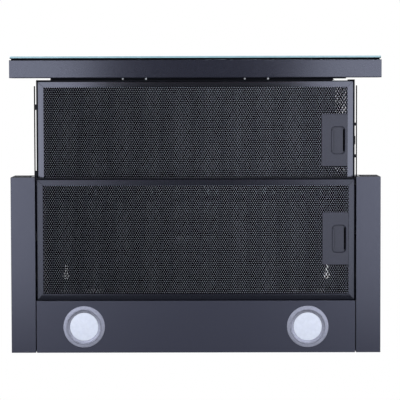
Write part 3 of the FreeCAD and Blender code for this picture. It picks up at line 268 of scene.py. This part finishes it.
def make_finishes():
    """A finish for each of the record's slots, and those that some nodes wear in place of
    their slot's."""
    return {
        "coated_steel": powder_coat("coated_steel", "#1f202b", "#242530", 0.3),
        "bar_coat": powder_coat("bar_coat", "#1b1c26", "#1e1f2a", 0.16, 1.55),
        "flank_coat": powder_coat("flank_coat", "#22232e", "#252632", 0.24, 1.51),
        "strip_coat": powder_coat("strip_coat", "#292a35", "#2d2e3a", 0.3, 1.47),
        "drawer_coat": powder_coat("drawer_coat", "#09090c", "#0c0c10", 0.5, 1.25),
        "cassette_coat": powder_coat("cassette_coat", "#0c0d12", "#0f1015", 0.13, 1.64),
        "rear_cassette_coat": powder_coat("rear_cassette_coat", "#14151c", "#17181f", 0.2, 1.41),
        "filter_mesh": glint_painted_mesh(),
        # Painted shade: the filter cores are near-black with hardly any reflection, standing in for
        # the shade behind the filter faces.
        "mesh_core_painted_shade": powder_coat("mesh_core_painted_shade", "#030304", "#050506", 0.8, 1.04),
        "galvanised_steel": galvanised_sheet(),
        # Painted shade: the blower's sheet is near-black, standing in for the shade inside the
        # hood.
        "blower_painted_shade": powder_coat("blower_painted_shade", "#18181b", "#1f1f22", 0.55, 1.3),
        "zinc_screw": bright_metal("zinc_screw", "#b4b5b3", "#c6c6c2", 0.32),
        "satin_chrome": bright_metal("satin_chrome", "#90919a", "#9a9ba4", 0.36),
        "milky_lens": opal_lens(),
        "heat_sink": bright_metal("heat_sink", "#9b9da0", "#aeb0b2", 0.5, 0.8 * MM),
        "spring_steel": bright_metal("spring_steel", "#a4a5a8", "#b6b7ba", 0.28),
        "nylon": moulded_plastic("nylon", "#d6d6d2", "#e0e0dc", 0.4),
        "latch_plastic": moulded_plastic("latch_plastic", "#2c2d38", "#32333f", 0.42),
        "rear_slide_painted_shade": slide_plastic_and_painted_shade("rear_slide_painted_shade", "rear_latch_slide"),
        "front_slide_painted_shade": slide_plastic_and_painted_shade("front_slide_painted_shade", "front_latch_slide"),
        "fascia_glass": float_glass(),
        "bonding_tape": moulded_plastic("bonding_tape", "#050506", "#080809", 0.7, 0.6 * MM,
                                        0.05 * MM, 1.1),
        "black_plastic": moulded_plastic("black_plastic", "#121214", "#17171a", 0.6),
        "grey_plastic": moulded_plastic("grey_plastic", "#7b7c7f", "#87888b", 0.5),
        "button_plastic": moulded_plastic("button_plastic", "#8f9298", "#9a9da3", 0.32, 0.3 * MM,
                                          0.004 * MM),
        "board_laminate": board_laminate(),
        "motor_steel": bright_metal("motor_steel", "#96979a", "#a5a6a9", 0.36),
        "soft_rubber": moulded_plastic("soft_rubber", "#161616", "#1d1d1d", 0.75),
        "capacitor_case": moulded_plastic("capacitor_case", "#d2d2cc", "#dcdcd6", 0.38),
    }


finishes = make_finishes()

# The nodes that don't wear their slot's finish. The blower and all that shows through the
# filters from below is painted near-black as the shade inside the hood, and the bar, the flanks
# and the cassettes differ in gloss.
COATS = {
    "front_bar": "bar_coat", "left_flank": "flank_coat", "right_flank": "flank_coat",
    "light_panel": "strip_coat", "rear_filter_frame": "rear_cassette_coat",
    "front_filter_frame": "cassette_coat", "rear_filter_core": "mesh_core_painted_shade",
    "front_filter_core": "mesh_core_painted_shade", "drawer_frame": "drawer_coat", "front_rail": "drawer_coat",
    "left_runner": "drawer_coat", "right_runner": "drawer_coat", "left_volute": "blower_painted_shade",
    "right_volute": "blower_painted_shade", "motor_bracket": "blower_painted_shade", "motor_can": "blower_painted_shade",
    "impeller": "blower_painted_shade", "rear_flap": "blower_painted_shade", "front_flap": "blower_painted_shade",
    "duct_collar": "blower_painted_shade", "rear_latch_slide": "rear_slide_painted_shade",
    "front_latch_slide": "front_slide_painted_shade",
}


def finish_of(node):
    """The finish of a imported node: its own coat where it has one, otherwise its slot's."""
    return finishes[COATS.get(node, slots[node])]


def dress_nodes():
    """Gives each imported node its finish."""
    for name, node in nodes.items():
        node.data.materials.clear()
        node.data.materials.append(finish_of(name))


# ---------------------------------------------------------------- pieces
def settle(piece, node):
    """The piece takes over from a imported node: its body and its finish."""
    piece.data.materials.clear()
    piece.data.materials.append(finish_of(node))
    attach(piece, body_of_node[node])
    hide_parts(node)
    return piece


def object_of(name, points, faces):
    """An object from arrays of points and faces, with its place in its mesh."""
    mesh = bpy.data.meshes.new(name)
    mesh.from_pydata(points, [], faces)
    mesh.validate()
    made = bpy.data.objects.new(name, mesh)
    bpy.context.collection.objects.link(made)
    return made


def smooth(piece, degrees=35):
    """Smooth shading that breaks at edges sharper than the angle."""
    shape = bmesh.new()
    shape.from_mesh(piece.data)
    limit = math.radians(degrees)
    for face in shape.faces:
        face.smooth = True
    for edge in shape.edges:
        edge.smooth = len(edge.link_faces) == 2 and edge.calc_face_angle(0) < limit
    shape.to_mesh(piece.data)
    shape.free()
    return piece


def outward(piece, merge=0.0):
    """Merges points closer together than that, and turns every face of the closed mesh
    outwards."""
    shape = bmesh.new()
    shape.from_mesh(piece.data)
    if merge:
        bmesh.ops.remove_doubles(shape, verts=shape.verts, dist=merge)
    bmesh.ops.recalc_face_normals(shape, faces=shape.faces)
    shape.to_mesh(piece.data)
    shape.free()
    return piece


def grid_faces(rows, columns, round_rows=False, round_columns=False, first=0):
    """Faces between neighbouring points of a rows by columns grid, as an array of fours."""
    i, j = np.meshgrid(np.arange(rows if round_rows else rows - 1),
                       np.arange(columns if round_columns else columns - 1), indexing="ij")
    i_next = (i + 1) % rows
    j_next = (j + 1) % columns
    quads = np.stack([i * columns + j, i_next * columns + j,
                      i_next * columns + j_next, i * columns + j_next], axis=-1)
    return quads.reshape(-1, 4) + first


SHARP = math.radians(40)
PLATE_BORDER = 1.5 * MM


def round_mouth(shape, width):
    """Rounds the sharp edges in a plate's lowest face, but not those on the plate's border,
    so only the mouths of its hollows change."""
    spots = np.array([v.co for v in shape.verts])
    low, high = spots.min(axis=0), spots.max(axis=0)

    def on_mouth(vert):
        return (vert.co.z < low[2] + 0.02 * MM
                and low[0] + PLATE_BORDER < vert.co.x < high[0] - PLATE_BORDER
                and low[1] + PLATE_BORDER < vert.co.y < high[1] - PLATE_BORDER)

    mouth = [edge for edge in shape.edges if len(edge.link_faces) == 2
             and all(on_mouth(vert) for vert in edge.verts)
             and edge.calc_face_angle(0) > SHARP]
    bmesh.ops.bevel(shape, geom=mouth, offset=width, offset_type="OFFSET", segments=4,
                    profile=0.5, affect="EDGES", clamp_overlap=False)


FOLD_ROUND = 0.4 * MM
MOULD_ROUND = 0.3 * MM
MOUTH_ROUND = 1.0 * MM


def eased(node, width, mouth=0.0):
    """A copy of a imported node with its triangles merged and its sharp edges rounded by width,
    as folded or moulded edges are, and the edges of its hollows by mouth."""
    shape = bmesh.new()
    shape.from_mesh(nodes[node].data)
    bmesh.ops.remove_doubles(shape, verts=shape.verts, dist=0.002 * MM)
    bmesh.ops.dissolve_limit(shape, angle_limit=math.radians(1), verts=shape.verts,
                             edges=shape.edges)
    if mouth:
        round_mouth(shape, mouth)
    mesh = bpy.data.meshes.new(node + "_eased")
    shape.to_mesh(mesh)
    shape.free()
    made = bpy.data.objects.new(node + "_eased", mesh)
    bpy.context.collection.objects.link(made)
    bevel = made.modifiers.new("EasedEdges", "BEVEL")
    bevel.width = width
    bevel.segments = 2
    bevel.limit_method = "ANGLE"
    bevel.angle_limit = SHARP
    bevel.harden_normals = True
    return settle(made, node)


def make_eased_sheets():
    """Every folded or moulded piece that shows from outside."""
    for node in ("left_flank", "right_flank", "light_panel", "front_rail", "chassis_wrap",
                 "front_panel", "rear_panel", "drawer_frame", "drawer_cover", "left_runner",
                 "right_runner"):
        eased(node, FOLD_ROUND)
    for cassette in ("rear", "front"):
        eased(cassette + "_latch_plate", MOULD_ROUND, MOUTH_ROUND)
        eased(cassette + "_latch_slide", MOULD_ROUND)


# ---------------------------------------------------------------- expanded metal
# The diamonds of a filter's face are MESH_PITCH wide and twice HALF_LONG long. CORE_LAYERS gives
# each core layer's height in the cassette, and how many times larger its diamonds are.
MESH_PITCH = 3.62 * MM
HALF_LONG = 3.05 * MM
BOND_HALF = 0.5 * MM
STRAND_THICK = 0.35 * MM
FACE_STRANDS = 0.44 * MM
FACE_LEAN = 0.036 * MM
CORE_STRANDS = {"rear": 1.33 * MM, "front": 1.22 * MM}
CORE_LEAN = 0.3 * MM
CORE_LAYERS = ((0.5 * MM, 1.3), (2.6 * MM, 1.37))
SHEET_INSET = 3.0 * MM
PLATE_GAP = 0.2 * MM


def strands(across, back, level, scale, wide, lean, notch):
    """Points and faces of one expanded sheet. Strand k runs along Y round
    x = (k + 1/2) s, with s half the mesh pitch, and swings by (-1)^k (-1)^i (s - wide) / 2 at
    y = i h, where it stays for the length of a bond. So neighbours lie side by side at every
    bond, and diamonds 2 s wide and 2 h long open between them. The section is a triangle whose
    right edge stands lean higher than its left. Segments inside the notch, given as its left,
    front and back, are left out. The last result tells which faces lie on a bond."""
    s, h, bond, wide = (v * scale for v in (MESH_PITCH / 2, HALF_LONG, BOND_HALF, wide))
    strand = np.arange(int((across[1] - across[0]) / s))
    turns = np.arange(int((back[1] - back[0] - 2 * bond) / h) + 1)
    swing = (-1.0) ** strand[:, None] * (-1.0) ** turns[None, :] * (s - wide) / 2
    middle = np.repeat(across[0] + (strand[:, None] + 0.5) * s + swing, 2, axis=1)
    y = (back[0] + bond + turns[:, None] * h + np.array([-bond, bond])).ravel()
    section = np.array([(-wide / 2, 0.0), (wide / 2, lean), (0.0, STRAND_THICK + lean / 2)])
    count = len(y)
    points = np.empty((len(strand), count, 3, 3))
    points[..., 0] = middle[:, :, None] + section[None, None, :, 0]
    points[..., 1] = y[None, :, None]
    points[..., 2] = level + section[None, None, :, 1]
    middle_y = (y[:-1] + y[1:]) / 2
    beside = (middle_y > notch[1]) & (middle_y < notch[2])
    keep = ~((middle[:, :-1] > notch[0]) & beside[None, :])
    outside = np.zeros((len(strand), 1), bool)
    starts = keep & ~np.concatenate([outside, keep[:, :-1]], axis=1)
    ends = keep & ~np.concatenate([keep[:, 1:], outside], axis=1)
    corner, next_corner = np.arange(3), np.array([1, 2, 0])
    first = 3 * (np.argwhere(keep) @ (count, 1))[:, None]
    faces = np.stack([first + corner, first + 3 + corner, first + 3 + next_corner,
                      first + next_corner], axis=-1)
    start_caps = 3 * (np.argwhere(starts) @ (count, 1))[:, None] + corner
    end_caps = 3 * (np.argwhere(ends) @ (count, 1) + 1)[:, None] + corner[::-1]
    on_bond = np.argwhere(keep)[:, 1] % 2 == 0
    bonds = np.concatenate([np.repeat(on_bond, 3),
                            np.zeros(len(start_caps) + len(end_caps), bool)])
    return points.reshape(-1, 3), [faces.reshape(-1, 4), start_caps, end_caps], bonds


def expanded_sheet(name, node, plate, wide, lean, layers):
    """One piece of one or more expanded layers, each (height, scale), cut out round a plate."""
    low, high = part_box(node)
    plate_low, plate_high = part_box(plate)
    notch = (plate_low[0] - PLATE_GAP, plate_low[1] - PLATE_GAP, plate_high[1] + PLATE_GAP)
    across = (low[0] + SHEET_INSET, high[0] - SHEET_INSET)
    back = (low[1] + SHEET_INSET, high[1] - SHEET_INSET)
    all_points, all_faces, all_bonds, count = [], [], [], 0
    for height, scale in layers:
        points, groups, bonds = strands(across, back, low[2] + height, scale, wide, lean, notch)
        all_points.append(points)
        for group in groups:
            all_faces += (group + count).tolist()
        all_bonds.append(bonds)
        count += len(points)
    piece = object_of(name, np.concatenate(all_points), all_faces)
    # The bond attribute picks the faces whose colour the filter_mesh finish paints as a glint.
    marks = piece.data.attributes.new("bond", "FLOAT", "FACE")
    marks.data.foreach_set("value", np.concatenate(all_bonds).astype(np.float32))
    shape = bmesh.new()
    shape.from_mesh(piece.data)
    bmesh.ops.delete(shape, geom=[v for v in shape.verts if not v.link_faces], context="VERTS")
    shape.to_mesh(piece.data)
    shape.free()
    return settle(piece, node)


def make_meshes():
    """Fine strands on the face, and two close layers of wide strands behind them, so that
    hardly anything above a filter shows through it."""
    for cassette in ("rear", "front"):
        plate = cassette + "_latch_plate"
        expanded_sheet(cassette + "_mesh_face", cassette + "_filter_face", plate,
                       FACE_STRANDS, FACE_LEAN, [(0.0, 1.0)])
        expanded_sheet(cassette + "_mesh_core_painted_shade", cassette + "_filter_core", plate,
                       CORE_STRANDS[cassette], CORE_LEAN, CORE_LAYERS)


# ---------------------------------------------------------------- filter rails
RAIL = 10.4 * MM
RAIL_WALL = 1.0 * MM
RAIL_EDGE = 1.2 * MM
LIP_EDGE = 0.3 * MM
MITRE_GAP = 0.3 * MM
PIN_FRONT = 1.7 * MM
PIN_BACK = 1.8 * MM
PIN_INSET = 3.5 * MM
PIN_RADIUS = 1.25 * MM


def rail_profile(height):
    """The channel's section as (inward, up) points: a quarter circle at each outer corner and a
    small bevel on each lip."""
    turn = np.linspace(0, math.pi / 2, 5)
    short, tall = RAIL_EDGE * (1 - np.cos(turn)), RAIL_EDGE * (1 - np.sin(turn))
    lip_low = np.array([(RAIL - LIP_EDGE, 0.0), (RAIL, LIP_EDGE), (RAIL, RAIL_WALL),
                        (RAIL_WALL, RAIL_WALL)])
    lip_high = np.array([(RAIL_WALL, height - RAIL_WALL), (RAIL, height - RAIL_WALL),
                         (RAIL, height - LIP_EDGE), (RAIL - LIP_EDGE, height)])
    return np.concatenate([np.stack([short, tall], axis=1), lip_low, lip_high,
                           np.stack([tall, height - short], axis=1)])


def round_bar(at, span, radius, sides=20):
    """A pin along Y at (x, z): points on two circles, with a flat face at each end."""
    turn = np.arange(sides) * 2 * math.pi / sides
    ring = np.stack([at[0] + radius * np.cos(turn), np.zeros(sides), at[1] + radius * np.sin(turn)],
                    axis=1)
    points = np.concatenate([ring + (0, end, 0) for end in span])
    faces = grid_faces(2, sides, round_columns=True).tolist()
    faces.append(list(range(sides)))
    faces.append(list(range(2 * sides - 1, sides - 1, -1)))
    return points, faces


def mitred_rails(name, node):
    """Four rails round the cassette, and the pins in front of it and behind it. A point n
    inwards of the outer edge runs from n to length - n along its side, so the ends meet on the
    diagonals, a hair apart."""
    low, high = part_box(node)
    low = np.array(low) + (0, PIN_FRONT, 0)
    high = np.array(high) - (0, PIN_BACK, 0)
    profile = rail_profile(high[2] - low[2])
    corners = np.array([(low[0], low[1]), (high[0], low[1]), (high[0], high[1]), (low[0], high[1])])
    all_points, all_faces = [], []
    for side in range(4):
        start, end = corners[side], corners[(side + 1) % 4]
        along = (end - start) / np.linalg.norm(end - start)
        inward = np.array([-along[1], along[0]])
        length = np.linalg.norm(end - start)
        reach = np.stack([profile[:, 0] + MITRE_GAP, length - profile[:, 0] - MITRE_GAP])
        ring = (start[None, None, :] + reach[:, :, None] * along
                + profile[None, :, 0, None] * inward)
        points = np.concatenate([ring, np.broadcast_to(low[2] + profile[None, :, 1, None],
                                                       (2, len(profile), 1))], axis=2)
        first = sum(len(part) for part in all_points)
        all_points.append(points.reshape(-1, 3))
        all_faces += grid_faces(2, len(profile), round_columns=True, first=first).tolist()
        all_faces.append(list(range(first, first + len(profile))))
        all_faces.append(list(range(first + 2 * len(profile) - 1, first + len(profile) - 1, -1)))
    pin = (low[0] + PIN_INSET, (low[2] + high[2]) / 2)
    for span in ((low[1] - PIN_FRONT, low[1] + RAIL_WALL),
                 (high[1] - RAIL_WALL, high[1] + PIN_BACK)):
        points, faces = round_bar(pin, span, PIN_RADIUS)
        first = sum(len(part) for part in all_points)
        all_points.append(points)
        all_faces += [[corner + first for corner in face] for face in faces]
    piece = outward(object_of(name, np.concatenate(all_points), all_faces))
    return settle(smooth(piece), node)


# ---------------------------------------------------------------- lamps
# Points of the bezel's section, from the lamp's axis outwards and up from the panel's face: the
# inner band, the raised bead, the flat satin band, the rim, and the neck that holds it.
BEZEL = MM * np.array([
    (23.1, 3.0), (23.1, -0.5), (26.7, -0.55), (27.0, -1.15), (28.3, -1.2), (28.6, -0.9),
    (33.7, -1.05), (34.0, -0.7), (34.0, 0.0), (30.6, 0.0), (30.6, 14.0), (29.0, 14.0), (29.0, 3.0),
])
BEZEL_EDGE = 0.2 * MM
LENS_RADIUS = 22.9 * MM
LENS_DROP = 0.4 * MM
LENS_DOME = 1.0 * MM
LENS_BACK = MM * np.array([(22.9, 3.0), (26.0, 3.0), (26.0, 4.5), (0.0, 4.5)])


def turned(name, centre, profile, sides=96):
    """A closed profile of (radius, up) points carried once round the vertical axis."""
    turn = np.arange(sides) * 2 * math.pi / sides
    points = np.empty((sides, len(profile), 3))
    points[..., 0] = centre[0] + np.cos(turn)[:, None] * profile[None, :, 0]
    points[..., 1] = centre[1] + np.sin(turn)[:, None] * profile[None, :, 0]
    points[..., 2] = centre[2] + profile[None, :, 1]
    piece = object_of(name, points.reshape(-1, 3), grid_faces(sides, len(profile), True, True))
    return outward(piece, merge=0.001 * MM)


def rounded_corners(points, radius, steps=4):
    """The closed outline with each corner replaced by a parabola that touches both its sides
    at the radius from the corner, or short of halfway along a shorter side."""
    t = np.linspace(0, 1, steps + 1)[:, None]
    result = []
    for back, corner, ahead in zip(np.roll(points, 1, axis=0) - points, points,
                                   np.roll(points, -1, axis=0) - points):
        long_back, long_ahead = np.linalg.norm(back), np.linalg.norm(ahead)
        reach = min(radius, 0.45 * long_back, 0.45 * long_ahead)
        start, end = corner + back / long_back * reach, corner + ahead / long_ahead * reach
        result.append((1 - t) ** 2 * start + 2 * t * (1 - t) * corner + t ** 2 * end)
    return np.concatenate(result)


def make_lamps():
    """A bezel round each lamp, and its lens, whose face hangs lower than its rim by the dome's
    depth times 1 - r^2, with r the way out from its middle."""
    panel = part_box("light_panel")[0][2]
    out = np.linspace(0, 1, 14)
    dome = np.stack([LENS_RADIUS * out, -LENS_DROP - LENS_DOME * (1 - out ** 2)], axis=1)
    for side in ("left", "right"):
        low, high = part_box(side + "_lamp_bezel")
        centre = ((low[0] + high[0]) / 2, (low[1] + high[1]) / 2, panel)
        bezel = turned(side + "_bezel_ring", centre, rounded_corners(BEZEL, BEZEL_EDGE))
        settle(smooth(bezel, 50), side + "_lamp_bezel")
        lens = turned(side + "_lens_dome", centre, np.concatenate([dome, LENS_BACK]))
        settle(smooth(lens, 50), side + "_lamp_lens")


# ---------------------------------------------------------------- studio
BOX_COLOUR = (0.92, 0.96, 1.12)


def soft_box(name, place, target, size, power):
    """A rectangular area lamp aimed at a point."""
    light = bpy.data.lights.new(name, "AREA")
    light.shape = "RECTANGLE"
    light.size, light.size_y = size
    light.energy = power
    light.color = BOX_COLOUR
    lamp = bpy.data.objects.new(name, light)
    lamp.location = place
    lamp.rotation_euler = (Vector(target) - Vector(place)).to_track_quat("-Z", "Y").to_euler()
    lamp.visible_camera = False
    bpy.context.collection.objects.link(lamp)


# The camera sees each flat underside point mirrored in the level of the lens. These boxes
# begin where the mirror places of the hood's outer quarters lie, so the coats are bright at
# their ends, dark in the middle and a little darker towards the wall.
BOX_INNER = 0.35
BOX_OUTER = 1.40
BOX_SPAN = (-1.5, 0.45)
BOX_LEVEL = -2.62
BOX_RADIANCE = 3.9

# The weaker boxes that light the hood's outside: name, place and watts.
OUTSIDE_BOXES = (
    ("soft_box_top_left", (-2.2, -1.2, 2.1), 52),
    ("soft_box_top_right", (2.2, 1.0, 2.1), 42),
    ("soft_box_front", (0.7, -2.9, 0.9), 40),
)
OUTSIDE_BOX_SIZE = (1.6, 1.6)
HOOD_MIDDLE = (0, -0.1, -0.15)


def make_lights():
    """Two soft boxes beside the camera below, two above and one in front."""
    wide, deep = BOX_OUTER - BOX_INNER, BOX_SPAN[1] - BOX_SPAN[0]
    for sign in (-1, 1):
        place = (sign * (BOX_INNER + BOX_OUTER) / 2, sum(BOX_SPAN) / 2, BOX_LEVEL)
        soft_box("soft_box_under", place, (place[0], place[1], 0), (wide, deep),
                 BOX_RADIANCE * math.pi * wide * deep)
    for name, place, power in OUTSIDE_BOXES:
        soft_box(name, place, HOOD_MIDDLE, OUTSIDE_BOX_SIZE, power)


WORLD_FILL = 0.42
WORLD_GLOSS = 0.15


def make_world():
    """White to the camera and through glass, dim grey in reflections, and a plain fill."""
    world = bpy.data.worlds.new("studio")
    bpy.context.scene.world = world
    world.use_nodes = True
    tree = world.node_tree
    tree.nodes.clear()
    ray = add(tree, "ShaderNodeLightPath")
    seen = add(tree, "ShaderNodeMath", {"operation": "MAXIMUM"},
               {0: ray.outputs["Is Camera Ray"], 1: ray.outputs["Is Transmission Ray"]})
    level = add(tree, "ShaderNodeMix", {"data_type": "FLOAT", 2: WORLD_FILL, 3: WORLD_GLOSS},
                {0: ray.outputs["Is Glossy Ray"]})
    fill = add(tree, "ShaderNodeBackground", {"Color": linear("#ffffff")},
               {"Strength": level.outputs[0]})
    white = add(tree, "ShaderNodeBackground", {"Color": linear("#ffffff"), "Strength": 1.0})
    mixed = add(tree, "ShaderNodeMixShader",
                links={0: seen.outputs[0], 1: fill.outputs[0], 2: white.outputs[0]})
    add(tree, "ShaderNodeOutputWorld", links={"Surface": mixed.outputs[0]})


FLOOR_LEVEL = -3.2
FLOOR_HALF = 30.0
FLOOR_WHITE = 0.95


def make_floor():
    """A pale floor well below the hood. The camera sees it nearly as white as the world round
    it, and the rest of its colour is paint that takes the hood's shadow."""
    corners = FLOOR_HALF * np.array([(-1, -1), (1, -1), (1, 1), (-1, 1)])
    points = np.column_stack([corners, np.full(4, FLOOR_LEVEL)])
    floor = object_of("studio_floor", points, [(0, 1, 2, 3)])
    made, tree, place = start_material("pale_floor")
    paint = add(tree, "ShaderNodeBsdfDiffuse",
                links={"Color": tinted(tree, place, 0.5, "#ecedee", "#f1f2f2")})
    white = add(tree, "ShaderNodeEmission", {"Color": linear("#ffffff"), "Strength": 1.0})
    ray = add(tree, "ShaderNodeLightPath")
    share = add(tree, "ShaderNodeMath", {"operation": "MULTIPLY", 1: FLOOR_WHITE},
                {0: ray.outputs["Is Camera Ray"]})
    mixed = add(tree, "ShaderNodeMixShader",
                links={0: share.outputs[0], 1: paint.outputs[0], 2: white.outputs[0]})
    floor.data.materials.append(close_material(made, tree, mixed))
    floor.visible_glossy = False


# Angles in degrees. The focal length is in pixels of a picture FRAME_PIXELS wide.
FRAME_PIXELS = 400
CAMERA_PLACE = (0.0157, -0.2885, -2.6675)
CAMERA_TILT = 2.41
CAMERA_PAN = -0.192
CAMERA_ROLL = -0.14
CAMERA_SHIFT = -0.12
FOCAL_PIXELS = 1539.2
SENSOR = 36.0


def make_camera():
    """Below the hood, looking up at its underside, with the drawer towards the picture's top.
    The tilt leans the view towards the wall and the small shift puts the hood in the middle."""
    tilt, pan, roll = (math.radians(angle) for angle in (CAMERA_TILT, CAMERA_PAN, CAMERA_ROLL))
    ahead = Vector((math.sin(pan), math.sin(tilt) * math.cos(pan), math.cos(tilt) * math.cos(pan)))
    right = ahead.cross(Vector((0, -1, 0))).normalized()
    up = right.cross(ahead)
    turned_right = right * math.cos(roll) + up * math.sin(roll)
    turned_up = up * math.cos(roll) - right * math.sin(roll)
    data = bpy.data.cameras.new("camera")
    data.sensor_width = SENSOR
    data.lens = FOCAL_PIXELS * SENSOR / FRAME_PIXELS
    data.shift_y = CAMERA_SHIFT
    data.clip_end = 100.0
    camera = bpy.data.objects.new("camera", data)
    bpy.context.collection.objects.link(camera)
    camera.rotation_mode = "QUATERNION"
    axes = np.array([turned_right, turned_up, -ahead]).T
    camera.rotation_quaternion = Matrix(axes.tolist()).to_quaternion()
    camera.location = CAMERA_PLACE
    bpy.context.scene.camera = camera


# ---------------------------------------------------------------- the whole scene
make_camera()
make_world()
make_lights()
make_floor()
dress_nodes()
make_eased_sheets()
make_meshes()
for cassette in ("rear", "front"):
    mitred_rails(cassette + "_mitred_rails", cassette + "_filter_frame")
make_lamps()

bpy.context.scene.view_settings.view_transform = "Standard"
